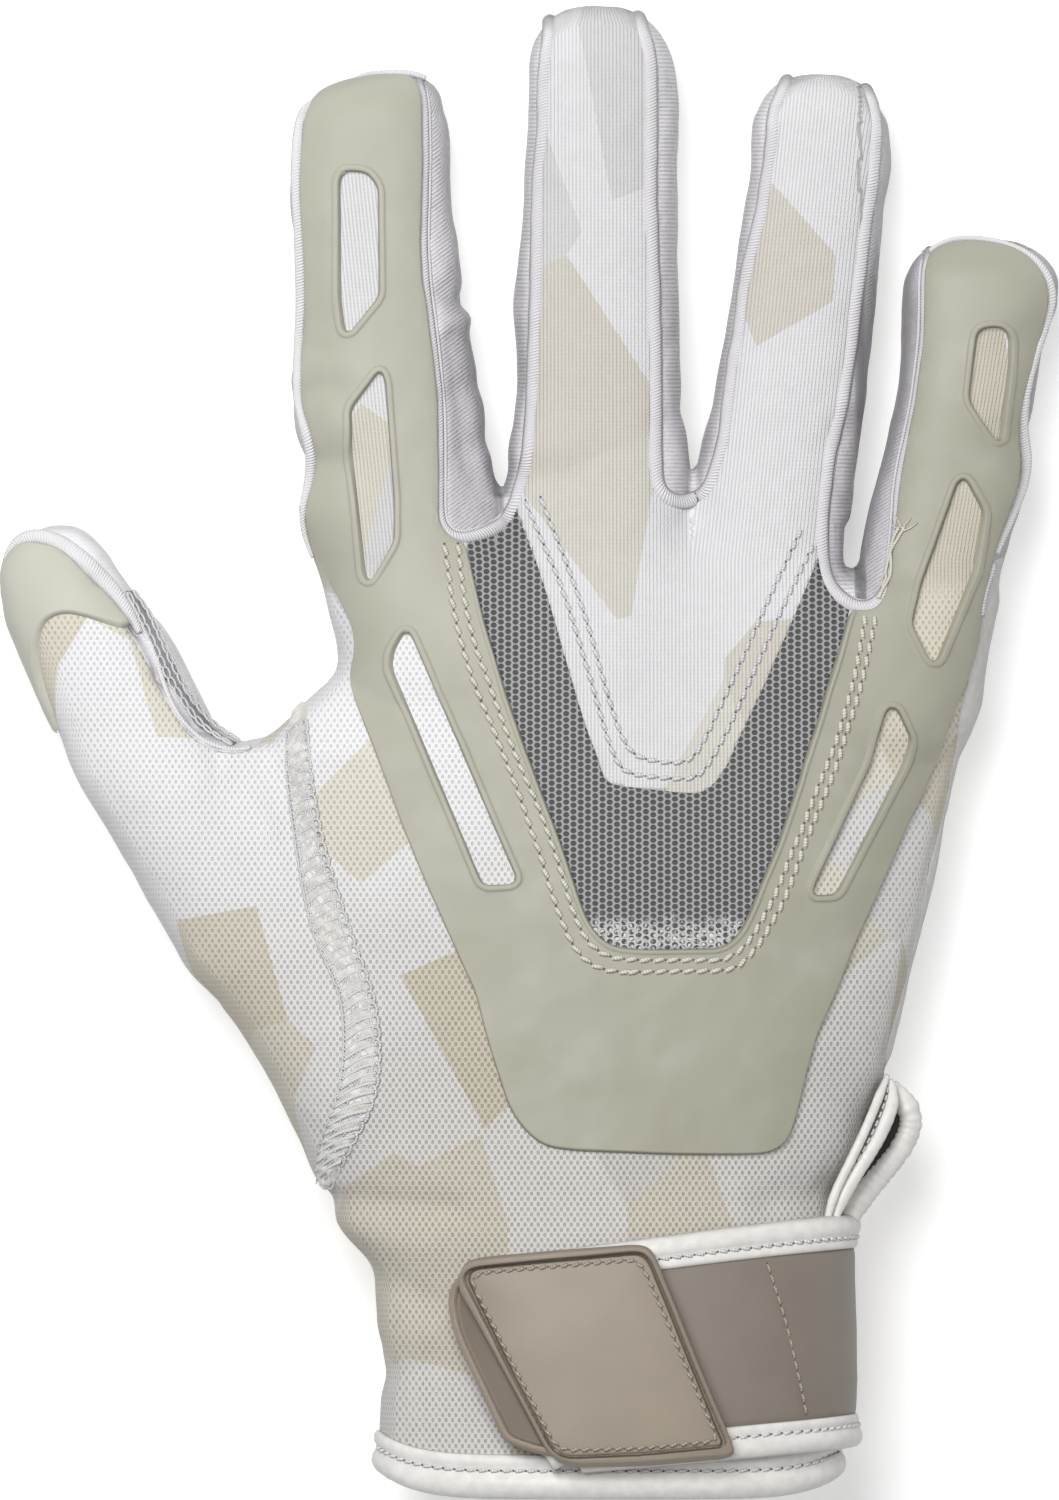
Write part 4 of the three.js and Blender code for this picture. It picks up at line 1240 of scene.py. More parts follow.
tail_threads = []
for strand in range(2):
    line = [(column + 2.6 * math.sin(0.9 * k + 2.4 * strand), row) for k, (column, row) in enumerate(TAIL)]
    points, _ = seam_line(line, RUBBER + 0.25, 2, radius=1.5, step=0.4)
    tail_threads.append(tube(points, 0.26, 6))
for line in FRAY:
    points, _ = seam_line(line, RUBBER + 0.25, 1, radius=1, step=0.3)
    tail_threads.append(tube(points, np.linspace(0.17, 0.08, len(points)), 5))
thread_tail = joined("thread_tail", tail_threads, "rubber_overlay")

# The wrist: what goes round it is laid out by the angle about its axis

WRIST_TURN = math.radians(2)
WRIST_STEP = 1.5
wrist_rows = np.arange(-92, -38, WRIST_STEP)
MIDDLE_OF_STRAP = -70.0


def wrist_radii():
    """How far the cloth is from the wrist's axis, by angle and by place along it."""
    radii = np.zeros((181, len(wrist_rows)))
    for j, y in enumerate(wrist_rows):
        axis = Vector((WRIST_AXIS[0], max(y, up(HEM_ROW) + 1), WRIST_AXIS[1]))
        for i in range(len(radii)):
            angle = i * WRIST_TURN - math.pi
            hit = body_tree.ray_cast(axis, Vector((math.cos(angle), 0, math.sin(angle))))[0]
            radii[i, j] = math.hypot(hit.x - WRIST_AXIS[0], hit.z - WRIST_AXIS[1])
    for _ in range(3):
        radii = (np.roll(radii, 1, axis=0) + 2 * radii + np.roll(radii, -1, axis=0)) / 4
        calmed(radii.T)
    return radii


radii = wrist_radii()


def round_wrist(angle, y, lift):
    """Points at angles round the wrist, off its cloth by the lift, with their normals."""
    angle, y, lift = np.broadcast_arrays(np.asarray(angle, float), y, lift)
    j = np.clip((y - wrist_rows[0]) / WRIST_STEP, 0, len(wrist_rows) - 1.001)

    def loop(at):
        i = (at + math.pi) / WRIST_TURN
        whole_i, whole_j = np.floor(i).astype(int), j.astype(int)
        radius = bilinear(radii, whole_i % (len(radii) - 1), whole_j, i - whole_i, j - whole_j)
        x, z = WRIST_AXIS[0] + radius * np.cos(at), WRIST_AXIS[1] + radius * np.sin(at)
        return np.stack((x, y, z), axis=-1)

    way = loop(angle + 0.05) - loop(angle - 0.05)
    normal = unit(np.stack((way[..., 2], np.zeros_like(y), -way[..., 0]), axis=-1))
    return loop(angle) + normal * lift[..., None], normal


STRAP_WIDTH = 34.6
STRAP_START = np.radians([103, 137])
STRAP_ANGLES = np.radians(np.linspace(137, -92, 150))
STITCH_INSET = 3.35
STRAP_STITCH = {"pitch": 1.8, "radius": 0.27, "share": 0.86}
CROSS_STITCH = {"pitch": 1.7, "radius": 0.2}
HEM_STITCH = {"pitch": 1.9, "radius": 0.25, "slant": 0.2, "share": 0.86}


def strap_y(x, v):
    """Where a width v from the strap's lower edge lies along the glove."""
    low, high = -86.1 + 0.09 * x, -51.7 + 0.118 * x
    return low + (high - low) * v / STRAP_WIDTH


def strap_points(angles, v, lift):
    across_wrist = round_wrist(angles, MIDDLE_OF_STRAP, 0.0)[0][..., 0]
    return round_wrist(angles, strap_y(across_wrist, v), lift)


def strap_start(v):
    """The strap starts on a slant, under the wrist."""
    return np.interp(v, [0, STRAP_WIDTH], STRAP_START)


def strap_band(section, wrinkle=0.0):
    """A closed band along the strap. Its section is (width from the lower edge, height), all round."""
    widths, heights = np.array(section, float).T
    shares = np.linspace(0, 1, len(STRAP_ANGLES))
    rings = []
    for k, share in enumerate(shares):
        angle = strap_start(widths) + (STRAP_ANGLES[-1] - strap_start(widths)) * share
        lift = heights + wrinkle * noise_at([(k * 0.55, v * 0.9, 7.3) for v in widths])
        rings.append(strap_points(angle, widths, lift)[0])
    count = len(section)
    travel = travelled(np.array([ring[0] for ring in rings]))
    uv = np.column_stack((np.repeat(travel, count), np.tile(widths, len(rings))))
    return np.concatenate(rings), ring_faces(len(rings), count, flipped=True), uv


def hem_band():
    """Leather folded round the wrist's edge."""
    angles = np.radians(np.arange(-180, 180, 2))
    along, heights = np.array(HEM_SECTION).T
    rings = []
    for k, angle in enumerate(angles):
        rise = hem_rise(round_wrist(angle, -86.0, 0.0)[0][0])
        lift = heights + 0.16 * noise_at([(k * 0.8, v * 0.8, 2.1) for v in along])
        rings.append(round_wrist(angle, along + rise, lift)[0])
    uv = np.column_stack((np.repeat(np.arange(len(angles)) * 1.25, len(along)), np.tile(along, len(angles))))
    return np.concatenate(rings), ring_faces(len(rings), len(along), closed=True), uv


def angle_at(x):
    """The wrist's angle on the back of the hand at a place across."""
    points, _ = round_wrist(STRAP_ANGLES, MIDDLE_OF_STRAP, 2.9)
    top = STRAP_ANGLES > 0
    return np.interp(x, points[top, 0], STRAP_ANGLES[top])


strap = joined("strap", [strap_band(FIELD_SECTION)], "strap", "strap_fabric")
upper_section = [(STRAP_WIDTH - v, height) for v, height in EDGING_SECTION][::-1]
edgings = [
    joined(name, [strap_band(section, 0.03)], name, "binding_leather")
    for name, section in (("strap_edging_lower", EDGING_SECTION), ("strap_edging_upper", upper_section))
]
rows = []
for v, slant in ((STITCH_INSET, 0.3), (STRAP_WIDTH - STITCH_INSET, -0.3)):
    points, normals = strap_points(np.linspace(strap_start(v), STRAP_ANGLES[-1], 150), v, 3.0)
    rows.append(stitch_row(points, normals, slant=slant, **STRAP_STITCH))
strap_stitches = sewn("strap_stitches", rows, "strap_edging_lower")
cross_x, cross_v = np.linspace(27.6, 24.2, 40), np.linspace(5.6, 29, 40)
cross_line = round_wrist(angle_at(cross_x), strap_y(cross_x, cross_v), 2.85)
cross_stitches = sewn("strap_cross_stitches", [stitch_row(*cross_line, **CROSS_STITCH)], "strap")
end_v = np.linspace(1.5, STRAP_WIDTH - 1.2, 24)
end_x = np.interp(end_v, [0, STRAP_WIDTH], [-7.5, -25.0])
points, normals = round_wrist(angle_at(end_x), strap_y(end_x, end_v), 2.5)
end_tube = tube(points, 1.9, 12, 0.62, normals)
strap_end = joined("strap_end_binding", [end_tube], "strap_edging_upper", "binding_leather")
hem = joined("hem_binding", [hem_band()], "hem_binding", "binding_leather")
hem_angles = np.radians(np.linspace(176, 4, 160))
across_hem = round_wrist(hem_angles, -86.0, 0.0)[0][:, 0]
hem_line = round_wrist(hem_angles, -86.35 + hem_rise(across_hem), 0.6)
hem_stitches = sewn("hem_stitches", [stitch_row(*hem_line, **HEM_STITCH)], "hem_binding")

# Pull tab

TAB_LEVELS = (-0.06, -0.18, -0.38, -0.65, -0.9, -1.15, -1.35, -1.5, -1.65, -1.8, -1.95, -2.15, -2.4)
PANEL_LEVELS = (0.15, -0.12, -0.38)
TAB_STITCH = {"pitch": 1.67, "radius": 0.27, "slant": 0.35, "share": 0.82}
SLAB_STEP = 0.55
calm_grid = top_grid.copy()
calmed(calm_grid, 40)
calmed(calm_grid.T, 40)
tab_outline = rounded(plan(TAB), 2.4)
tab_panel = rounded(plan(TAB_PANEL), 1.4)
wing_outline = rounded(plan(WING), 2.0)


def on_strap(spots, lift, reach=0.5):
    """Points that stand off the strap's top by the given lift, along the surface's normal."""

    def base(across=0.0, along=0.0):
        return on_top(spots + [across, along], calm_grid) + 3.5

    slope_x = (base(reach) - base(-reach)) / (2 * reach)
    slope_y = (base(0, reach) - base(0, -reach)) / (2 * reach)
    normal = unit(np.column_stack((-slope_x, -slope_y, np.ones(len(spots)))))
    return np.column_stack((spots, base())) + normal * np.reshape(lift, (-1, 1))


def slab_relief(name, outline, levels, height, inner=None):
    """A moulded sheet in plan over the strap, cut along its outline and raised by a height."""
    low, high = outline.min(axis=0) - 1, outline.max(axis=0) + 1
    x, y = np.meshgrid(*(np.arange(low[d], high[d], SLAB_STEP) for d in range(2)), indexing="ij")
    spots = np.column_stack((x.ravel(), y.ravel()))
    number = np.arange(len(spots)).reshape(x.shape)
    corners = (number[:-1, :-1], number[1:, :-1], number[1:, 1:], number[:-1, 1:])
    a, b, c, d = (part.ravel() for part in corners)
    tris = np.concatenate((np.column_stack((a, b, c)), np.column_stack((a, c, d))))
    spots, tris, _, field = split(spots, tris, outline_distance(spots, outline))
    spots, tris = scored(spots, tris, field, levels)
    if inner is not None:
        spots, tris = scored(spots, tris, outline_distance(spots, inner), PANEL_LEVELS)
    spots, tris = compact(spots, tris)
    verts = on_strap(spots, height(spots, -outline_distance(spots, outline)))
    return new_object(name, verts, tris, "pull_tab", "tab_rubber", spots)


def tab_height(spots, inwards):
    """A round rim, a sunk panel and a soft rise towards the panel's middle."""
    panel_in = -outline_distance(spots, tab_panel)
    sunk = stepped((panel_in + 0.12) / 0.26)
    groove = np.exp(-(((panel_in - 0.2) / 0.2) ** 2))
    rise = 1 - np.exp(-np.clip(panel_in, 0, None) / 4)
    return round_edge(inwards, 2.8, 0.8) - 0.95 * sunk - 0.35 * groove + 0.35 * rise


def wing_height(_, inwards):
    return round_edge(inwards, 1.6, 0.6) - 0.95 * stepped((inwards - 1.15) / 0.35)


tab = slab_relief("pull_tab", tab_outline, TAB_LEVELS, tab_height, tab_panel)
wing = slab_relief("pull_tab_wing", wing_outline, TAB_LEVELS[:9], wing_height)
tab_line = on_strap(resampled(rounded(plan(TAB_SEAM), 1.6), 0.5, closed=True), 1.95)
tab_row = stitch_row(tab_line, np.tile([0, 0, 1.0], (len(tab_line), 1)), **TAB_STITCH)
tab_stitches = sewn("tab_stitches", [tab_row], "pull_tab", "tab_rubber")

# Leather round the vent


def leg_path(rows):
    rows = np.array(rows, float)
    return resampled(rounded(np.column_stack((plan(rows), rows[:, 2])), 5, False), 0.4)


def leg_tube(rows, radius, wrinkle, pitch=1.3):
    """A soft leather roll with fine wrinkles across it."""
    path = leg_path(rows)
    travel = np.arange(len(path)) * 0.4
    drift = noise_at([(t * 0.45, radius, 0) for t in travel])
    wave = np.sin(travel * 2 * math.pi / pitch + 4 * drift) + drift
    taper = 0.55 + 0.45 * np.minimum(1, np.minimum(travel, travel[-1] - travel) / 4)
    return tube(path, radius * taper * (1 + wrinkle * wave), 14)


def vent_wall():
    """The palm's leather where it flares out to the vent's outer edge."""
    edge = leg_path(OUTER_LEG)
    foot = np.array([body_tree.find_nearest(Vector((x - 1, y, PALM_SEAM)))[0] for x, y, _ in edge])
    shares = np.linspace(0, 1, 8)[:, None, None]
    verts = edge * (1 - shares) + foot * shares
    verts[..., 0] += 1.2 * np.sin(shares[..., 0] * math.pi)
    number = np.arange(verts.size // 3).reshape(verts.shape[:2])
    corners = (number[:-1, :-1], number[:-1, 1:], number[1:, 1:], number[1:, :-1])
    return verts.reshape(-1, 3), np.column_stack([part.ravel() for part in corners])


legs = [leg_tube(DORSAL_LEG, 1.1, 0.03), leg_tube(DORSAL_LIP, 0.72, 0.03), leg_tube(OUTER_LEG, 1.8, 0.06)]
vent = joined("vent_piping", legs, "vent_piping", "binding_leather")
# Painted shade: a near-black roll in the vent's hollow between the legs.
shadow_roll = joined("vent_shadow_roll", [leg_tube(VENT_SHADOW, 1.5, 0.05)], "vent_piping", "binding_leather")
seam_path = leg_path((np.array(DORSAL_LEG) + DORSAL_LIP) / 2)
vent_row = stitch_row(seam_path, np.tile([0.35, 0, 0.94], (len(seam_path), 1)), 1.5, 0.2)
vent_stitches = sewn("vent_stitches", [vent_row], "vent_piping")
flare = thicken(new_object("vent_flare", *vent_wall(), "palm", "palm_leather"), FLARE_LEATHER)

# Materials. Each look is a small graph over the cloth's own millimetres.


class Value:
    """A number, vector or colour in a material's graph. Numbers can be reckoned with as in any formula."""

    def __init__(self, look, socket):
        self.look = look
        self.socket = socket

    def __add__(self, other):
        return self.look.math("ADD", self, other)

    def __sub__(self, other):
        return self.look.math("SUBTRACT", self, other)

    def __rsub__(self, other):
        return self.look.math("SUBTRACT", other, self)

    def __mul__(self, other):
        return self.look.math("MULTIPLY", self, other)

    def __truediv__(self, other):
        return self.look.math("DIVIDE", self, other)

    __radd__ = __add__
    __rmul__ = __mul__


class Look:
    """A material's node graph, with short ways to add its nodes."""

    def __init__(self, name, roughness, sheen=0.0, specular=0.35):
        self.material = bpy.data.materials.new(name)
        self.material.use_nodes = True
        self.tree = self.material.node_tree
        self.shader = self.tree.nodes["Principled BSDF"]
        self.put(self.shader.inputs["Roughness"], roughness)
        self.put(self.shader.inputs["Sheen Weight"], sheen)
        self.put(self.shader.inputs["Specular IOR Level"], specular)

    def put(self, socket, value):
        if isinstance(value, Value):
            self.tree.links.new(value.socket, socket)
        else:
            socket.default_value = (*value, 1) if socket.type == "RGBA" else value

    def node(self, kind, inputs, output=0, **options):
        """Adds a node with its options and inputs, and gives one of its outputs."""
        node = self.tree.nodes.new("ShaderNode" + kind)
        for key, value in options.items():
            setattr(node, key, value)
        for key, value in inputs.items():
            self.put(node.inputs[key], value)
        return Value(self, node.outputs[output])

    def math(self, operation, *values):
        return self.node("Math", dict(enumerate(values)), operation=operation)

    def ramp(self, value, low, high, start=0.0, end=1.0):
        """A smooth step from start to end as the value goes from low to high."""
        inputs = dict(enumerate((value, low, high, start, end)))
        return self.node("MapRange", inputs, interpolation_type="SMOOTHSTEP")

    def wave(self, value, period):
        """A wave between 0 and 1."""
        return self.math("SINE", value * (2 * math.pi / period)) * 0.5 + 0.5

    def mix(self, share, a, b):
        return self.node("Mix", {0: share, 6: a, 7: b}, 2, data_type="RGBA")

    def parts(self, vector):
        """A vector's three numbers."""
        node = self.tree.nodes.new("ShaderNodeSeparateXYZ")
        self.put(node.inputs[0], vector)
        return [Value(self, output) for output in node.outputs]

    def cloth(self):
        """The place on the cloth in millimetres: across, along, and both as a vector."""
        vector = self.node("UVMap", {}, uv_map="cloth")
        return *self.parts(vector)[:2], vector

    def place(self):
        """The place on the glove in millimetres: its three numbers, and all as a vector."""
        metres = self.node("TexCoord", {}, "Object")
        vector = self.node("VectorMath", {0: metres, "Scale": 1 / METRE}, operation="SCALE")
        return *self.parts(vector), vector

    def noise(self, vector, size, detail=2.0):
        """Cloudy noise from 0 to 1, with clouds of a size in millimetres."""
        return self.node("TexNoise", {"Vector": vector, "Scale": 1 / size, "Detail": detail})

    def bump(self, height, depth, before=None):
        """Relief of a depth in millimetres for heights from 0 to 1."""
        inputs = {"Strength": 1.0, "Distance": depth * METRE, "Height": height}
        if before is not None:
            inputs["Normal"] = before
        return self.node("Bump", inputs)

    def finish(self, colour, normal=None, roughness=None, edge=0.0):
        """Joins the colour, relief and roughness to the shader. The edge says how far the colour darkens
        where the surface turns away: painted shade towards the outline."""
        # Painted shade: the colour darkens where the surface turns away from the view.
        if edge:
            facing = self.node("LayerWeight", {"Blend": 0.5}, "Facing")
            colour = self.mix(self.ramp(facing, 0.25, 0.95, 0.0, edge), colour, (0.03, 0.03, 0.035))
        for key, value in (("Base Color", colour), ("Normal", normal), ("Roughness", roughness)):
            if value is not None:
                self.put(self.shader.inputs[key], value)
        return self.material


def shaded(colour, share):
    return tuple(share * part for part in colour)


WHITE_KNIT = (0.87, 0.87, 0.885)
GREY_KNIT = (0.74, 0.735, 0.74)
BEIGE_KNIT = (0.69, 0.64, 0.525)
PALE_BEIGE_KNIT = (0.775, 0.742, 0.645)
# The knit's darker colour towards the wrist: partly its own opening weave, partly painted shade.
STRETCHED_AND_SHADED_KNIT = (0.36, 0.31, 0.225)


def patches(look, vector):
    """A random net of straight-edged cells: how beige and how grey each is, and its tone."""
    ragged = (look.noise(vector, 0.9, 1.0) - 0.5) * 0.5
    shifted = look.node("VectorMath", {0: vector, 1: ragged}, operation="ADD")
    net = look.node("VectorMath", {0: shifted, 1: (1.0, 0.74, 1.0)}, operation="MULTIPLY")
    inputs = {"Vector": net, "Scale": 1 / 17.5, "Randomness": 1.0}
    kind, tone, _ = look.parts(look.node("TexVoronoi", inputs, "Color", voronoi_dimensions="2D"))
    return look.ramp(kind, 0.55, 0.56), look.ramp(kind, 0.14, 0.13), tone


def knit(name, openness_and_shade, fine_from, fine_to, tint=0.92):
    """Open knit has staggered dimples and opens towards the wrist, where it also darkens: partly the open
    knit and partly painted shade, as the light falls off down the hand. It turns into fine knit, with narrow
    columns of loops, from one height up the hand to another."""
    wale, course, narrow, low = 1.0, 0.78, 0.56, 0.6
    look = Look(name, 0.85, sheen=0.15, specular=0.2)
    u, v, vector = look.cloth()
    _, along, _, place = look.place()
    loops = look.math("COSINE", u * (2 * math.pi / wale)) * look.math("COSINE", v * (math.pi / course))
    # Towards the wrist the knit opens and darkens: partly real, partly painted shade where the light falls
    # off.
    opened_and_shaded = look.ramp(look.noise(place, 16, 1.0) * 24 - along, -25, 45, 0.0, openness_and_shade)
    open_dimple = look.ramp(loops + opened_and_shaded * 0.2, 0.1, 0.95)
    aside = look.math("ABSOLUTE", look.math("FRACT", u / narrow) - 0.5)
    vees = look.wave(v * (1 / low) + aside * 2.0, 1.0)
    furrow = look.ramp(aside, 0.24, 0.5) * 0.9
    fine_dimple = look.math("MINIMUM", furrow + vees * 0.42, 1.0)
    fine = look.ramp(along, fine_from, fine_to)
    dimple = open_dimple * (1.0 - fine) + fine_dimple * fine
    patch, grey, tone = patches(look, vector)
    base = look.mix(grey * 0.8, WHITE_KNIT, GREY_KNIT)
    beige = look.mix(look.ramp(tone, 0.35, 0.65), BEIGE_KNIT, PALE_BEIGE_KNIT)
    base = look.mix(patch * tint, base, beige)
    # Painted shade in part: the knit darkens towards the wrist.
    base = look.mix(opened_and_shaded * 0.4, base, STRETCHED_AND_SHADED_KNIT)
    shade = look.mix(opened_and_shaded * 0.2 + 0.24, base, (0.03, 0.03, 0.03))
    uneven = look.ramp(look.noise(vector, 2.2, 3.0), 0.25, 0.7, 0.7, 1.0)
    fuzz = look.noise(vector, 0.3, 1.0)
    relief = look.bump(dimple * -0.8 + fuzz * 0.45, 0.15)
    return look.finish(look.mix(dimple * uneven, base, shade), relief, edge=0.28)


def honeycomb():
    """Open mesh: columns of round holes, each column half a step below the next."""
    step, rise, hole_width, hole_height = 1.1, 0.96, 0.43, 0.385
    look = Look("open_mesh", 0.8, specular=0.25)
    u, v, vector = look.cloth()
    shift = look.math("MODULO", look.math("FLOOR", u / step) + 400, 2) * 0.5
    across = (look.math("FRACT", u / step) - 0.5) * (step / hole_width)
    along = (look.math("FRACT", v / rise + shift) - 0.5) * (rise / hole_height)
    hole = look.ramp(across * across + along * along, 1.25, 0.6)
    speckle = look.ramp(look.noise(vector, 0.7), 0.46, 0.62)
    foot = look.ramp(v + look.noise(vector, 2.2, 1.0) * 5.0, 0.6, -2.2)
    net = look.mix(foot, (0.38, 0.38, 0.385), (0.58, 0.58, 0.57))
    under = look.mix(foot * speckle * 0.9, (0.09, 0.09, 0.093), (0.8, 0.8, 0.78))
    return look.finish(look.mix(hole, net, under), look.bump(1.0 - hole, 0.2))


def satin(name, slanted, dark_from, contrast):
    """Stretch cloth with fine ribs, with painted shade low down the fingers' sides, in soft clouds and down a
    crease. Beside the rubber the ribs may slant.
    """
    look = Look(name, 0.42, sheen=0.15, specular=0.45)
    u, v, _ = look.cloth()
    x, y, height, place = look.place()
    inner = look.ramp(x, -19.5, -17.5) * look.ramp(x, 37.5, 35.5)
    outer = 1.0 - inner
    # Painted shade down a crease on the index finger's outer strip.
    crease = look.ramp(x, -29, -24.5) * look.ramp(y, 101, 84, 0.0, 0.5)
    rib = look.wave(u * 0.57 * (outer * slanted) + v * -0.82, 0.5)
    # Painted shade: darker low on the fingers' sides, less on the inner strips.
    depth = look.ramp(height, dark_from, 4) * look.ramp(inner, 0.0, 1.0, 1.0, 0.28)
    # Painted shade in soft clouds, as in hollows of the cloth.
    cloud = look.ramp(look.noise(place, 10, 1.0), 0.5, 0.75, 0.0, 0.3)
    low = look.math("MINIMUM", depth + cloud + crease * outer, 1.0)
    light = look.mix(low, (0.88, 0.862, 0.892), (0.5, 0.48, 0.51))
    dark = look.mix(low, (0.62, 0.6, 0.64), (0.27, 0.26, 0.28))
    fleck = look.ramp(look.noise(place, 0.4, 1.0), 0.3, 0.7, 0.4 * contrast, contrast)
    folds = look.bump(look.noise(place, 4.2), 0.6, look.bump(rib, -0.09 * contrast))
    return look.finish(look.mix(rib * fleck, light, dark), folds, edge=0.5)


def silicone(name, lit_colour, shaded_colour):
    """Matt rubber, paler on the index finger and darker towards the little finger's side and the wrist:
    painted shade, as the light falls from the upper left.
    """
    look = Look(name, 0.48, specular=0.32)
    x, y, _, place = look.place()
    # Painted shade: the rubber darkens towards the little finger's side and the wrist, away from the key
    # light.
    cloud = (look.noise(place, 22, 1.0) - 0.5) * 60
    colour = look.mix(look.ramp(x * 0.55 + y * -0.45 + cloud, -75, 60), lit_colour, shaded_colour)
    pale = look.ramp(look.noise(place, 9), 0.5, 0.8) * 0.25
    colour = look.mix(pale, colour, (0.54, 0.525, 0.455))
    roughness = look.ramp(look.noise(place, 12), 0.2, 0.8, 0.42, 0.56)
    return look.finish(colour, look.bump(look.noise(place, 0.25), 0.012), roughness, 0.3)


def leather(name, colour, grain_depth, wrinkle_depth, roughness=0.42):
    """Soft leather with a fine grain and gentle wrinkles."""
    look = Look(name, roughness, specular=0.4)
    place = look.place()[-1]
    grain = look.node("TexVoronoi", {"Vector": place, "Scale": 1 / 0.6}, "Distance")
    wrinkle = look.noise(place, 1.8, 3.0)
    shade = look.mix(look.ramp(wrinkle, 0.3, 0.7), shaded(colour, 0.9), colour)
    relief = look.bump(wrinkle, wrinkle_depth, look.bump(grain, grain_depth))
    return look.finish(shade, relief, edge=0.35)


def thread(name, colour, pitch=0.42, depth=0.09, roughness=0.55, edge=0.3, contrast=0.4):
    """Twisted thread: slanting ribs along it."""
    look = Look(name, roughness, sheen=0.1, specular=0.45)
    u, v, _ = look.cloth()
    rib = look.wave(u + v * 0.35, pitch)
    shade = look.mix(rib * contrast, colour, shaded(colour, 0.55))
    return look.finish(shade, look.bump(rib, depth), edge=edge)


def tape_cloth():
    """Sheer white tape over knit."""
    look = Look("tape_cloth", 0.7, sheen=0.2, specular=0.25)
    place = look.place()[-1]
    shade = look.mix(look.ramp(look.noise(place, 1.4), 0.35, 0.7), (0.62, 0.59, 0.54), (0.8, 0.79, 0.76))
    return look.finish(shade, look.bump(look.noise(place, 0.35, 1.0), 0.12))


def plain(name, colour, roughness, grain=0.02, size=0.3):
    look = Look(name, roughness)
    place = look.place()[-1]
    shade = look.mix(look.ramp(look.noise(place, 7), 0.25, 0.75), shaded(colour, 0.94), colour)
    return look.finish(shade, look.bump(look.noise(place, size), grain), edge=0.3)


DRESSED = [
    (knit("hand_knit", 1.0, 44, 50), [panels["back_panel"]]),
    (knit("thumb_knit", 0.85, 90, 100), [panels["thumb_wrap"]]),
    (knit("knuckle_knit", 0.4, -100, -90, 0.7), [panels["knuckle_panel"]]),
    (honeycomb(), [panels["vent_mesh"]]),
    (satin("satin", 1.0, 17, 1.0), [panels[name] for name in STRIPS]),
    (satin("thumb_satin", 0.0, 6, 0.3), [panels["thumb_side_strip"]]),
    (silicone("overlay_rubber", (0.475, 0.468, 0.39), (0.355, 0.342, 0.27)), [overlay]),
    (silicone("cap_rubber", (0.58, 0.578, 0.50), (0.5, 0.49, 0.41)), [thumb_cap]),
    (leather("palm_leather", (0.72, 0.71, 0.695), 0.05, 0.22, 0.6), [panels["palm"]]),
    (
        leather("binding_leather", (0.84, 0.825, 0.79), 0.02, 0.04),
        [*edgings, strap_end, hem, vent, flare],
    ),
    (
        thread("white_thread", (0.84, 0.835, 0.85)),
        [
            seam_edges, knuckle_stitches[0], thumb_stitches, tape_stitches, hem_stitches[0],
            strap_stitches[0], vent_stitches[0],
        ],
    ),
    (thread("roll_thread", (0.88, 0.86, 0.89), 0.46, 0.14, 0.36, 0.75, 0.3), [finger_seams]),
    (thread("roll_white", (0.92, 0.915, 0.93), 0.46, 0.12, 0.42, 0.4, 0.2), [*side_rolls, thumb_seams]),
    (plain("chain_bed_cloth", (0.3, 0.29, 0.31), 0.7, 0.1, 0.4), [bed]),
    # Painted shade: near-black for the vent's hollow.
    (plain("vent_painted_shade", (0.05, 0.047, 0.043), 0.9, 0.1, 0.4), [shadow_roll]),
    (thread("cream_thread", (0.84, 0.81, 0.7)), [overlay_stitches[0], thread_tail]),
    (thread("taupe_thread", (0.5, 0.44, 0.355)), [tab_stitches[0], cross_stitches[0]]),
    (tape_cloth(), [tape]),
    (plain("strap_cloth", (0.255, 0.22, 0.185), 0.5, 0.02, 0.22), [strap]),
    (plain("tab_rubber", (0.3, 0.25, 0.197), 0.42, 0.01), [tab, wing]),
    (plain("panel_rubber", (0.345, 0.293, 0.232), 0.45, 0.01), [tab]),
    # Painted shade: darker rubber in the groove round the tab's panel and on the wing's sunk floor.
    (plain("groove_shade_rubber", (0.15, 0.124, 0.098), 0.6, 0.01), [tab]),
    (plain("wing_recess_shade_rubber", (0.2, 0.165, 0.128), 0.5, 0.01), [wing]),
    (
        plain("needle_hole", (0.16, 0.15, 0.135), 0.9),
        [
            knuckle_stitches[1], hem_stitches[1], cross_stitches[1], overlay_stitches[1], strap_stitches[1],
            tab_stitches[1], vent_stitches[1],
        ],
    ),
]
for material, pieces in DRESSED:
    for piece in pieces:
        piece.data.materials.append(material)


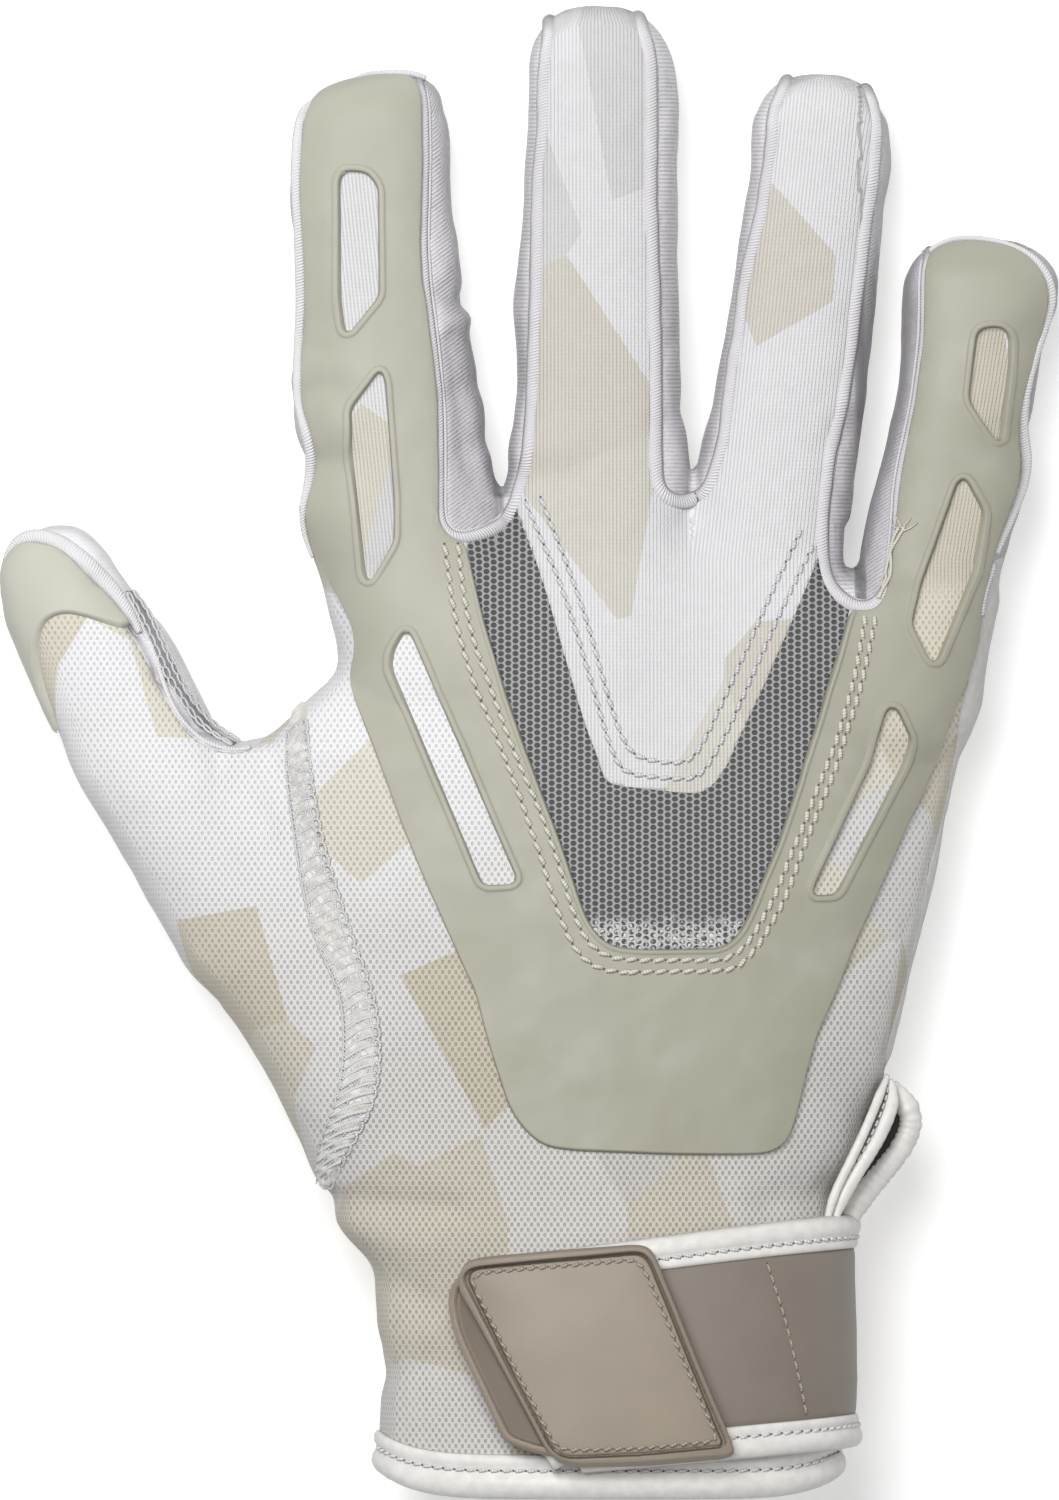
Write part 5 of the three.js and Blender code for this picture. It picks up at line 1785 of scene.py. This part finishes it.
def inside_of(piece, outline):
    """How far each face of a piece is inside an outline in plan."""
    centres = np.empty(len(piece.data.polygons) * 3)
    piece.data.polygons.foreach_get("center", centres)
    return -outline_distance(centres.reshape(-1, 3)[:, :2] / METRE, outline)


# The groove round the panel and the wing's sunk floor take the darker rubber: painted shade.
inside = inside_of(tab, tab_panel)
tab.data.polygons.foreach_set("material_index", np.select([inside < -0.12, inside < 0.25], [0, 2], 1))
wing.data.polygons.foreach_set("material_index", (inside_of(wing, wing_outline) > 1.3).astype(int))

# Floor, light and camera

scene = bpy.context.scene
scene.view_settings.view_transform = "Standard"

bpy.ops.mesh.primitive_plane_add(size=4, location=(0, 0, -0.0004))
floor = bpy.context.object
floor.name = "floor"
floor_look = Look("floor", 0.9, specular=0.0)
floor_look.put(floor_look.shader.inputs["Emission Color"], (1, 1, 1))
floor_look.put(floor_look.shader.inputs["Emission Strength"], 0.3)
floor.data.materials.append(floor_look.finish((0.93, 0.93, 0.93)))


def soft_light(name, place, size, power):
    """A square lamp that faces the glove."""
    light = bpy.data.lights.new(name, "AREA")
    light.size = size
    light.energy = power
    lamp = bpy.data.objects.new(name, light)
    lamp.location = place
    lamp.rotation_euler = (Vector((0, 0.02, 0)) - lamp.location).to_track_quat("-Z", "Y").to_euler()
    scene.collection.objects.link(lamp)


soft_light("key", (-0.3, 0.5, 1.2), 0.8, 14.7)
soft_light("fill", (0.5, -0.25, 1.3), 1.0, 2.8)

world = bpy.data.worlds.new("world")
world.use_nodes = True
world.node_tree.nodes["Background"].inputs["Color"].default_value = (1, 1, 1, 1)
world.node_tree.nodes["Background"].inputs["Strength"].default_value = 0.22
scene.world = world

PHOTO_HEIGHT = PICTURE[1] * PIXEL * METRE
CAMERA_DISTANCE = 5
lens = bpy.data.cameras.new("camera")
lens.sensor_width = 36
lens.lens = lens.sensor_width * CAMERA_DISTANCE / PHOTO_HEIGHT
lens.clip_end = 20
camera = bpy.data.objects.new("camera", lens)
centre = plan([((PICTURE[0] - 1) / 2, PICTURE[1] / 2)])[0] * METRE
camera.location = (centre[0], centre[1], CAMERA_DISTANCE + 0.02)
scene.collection.objects.link(camera)
scene.camera = camera
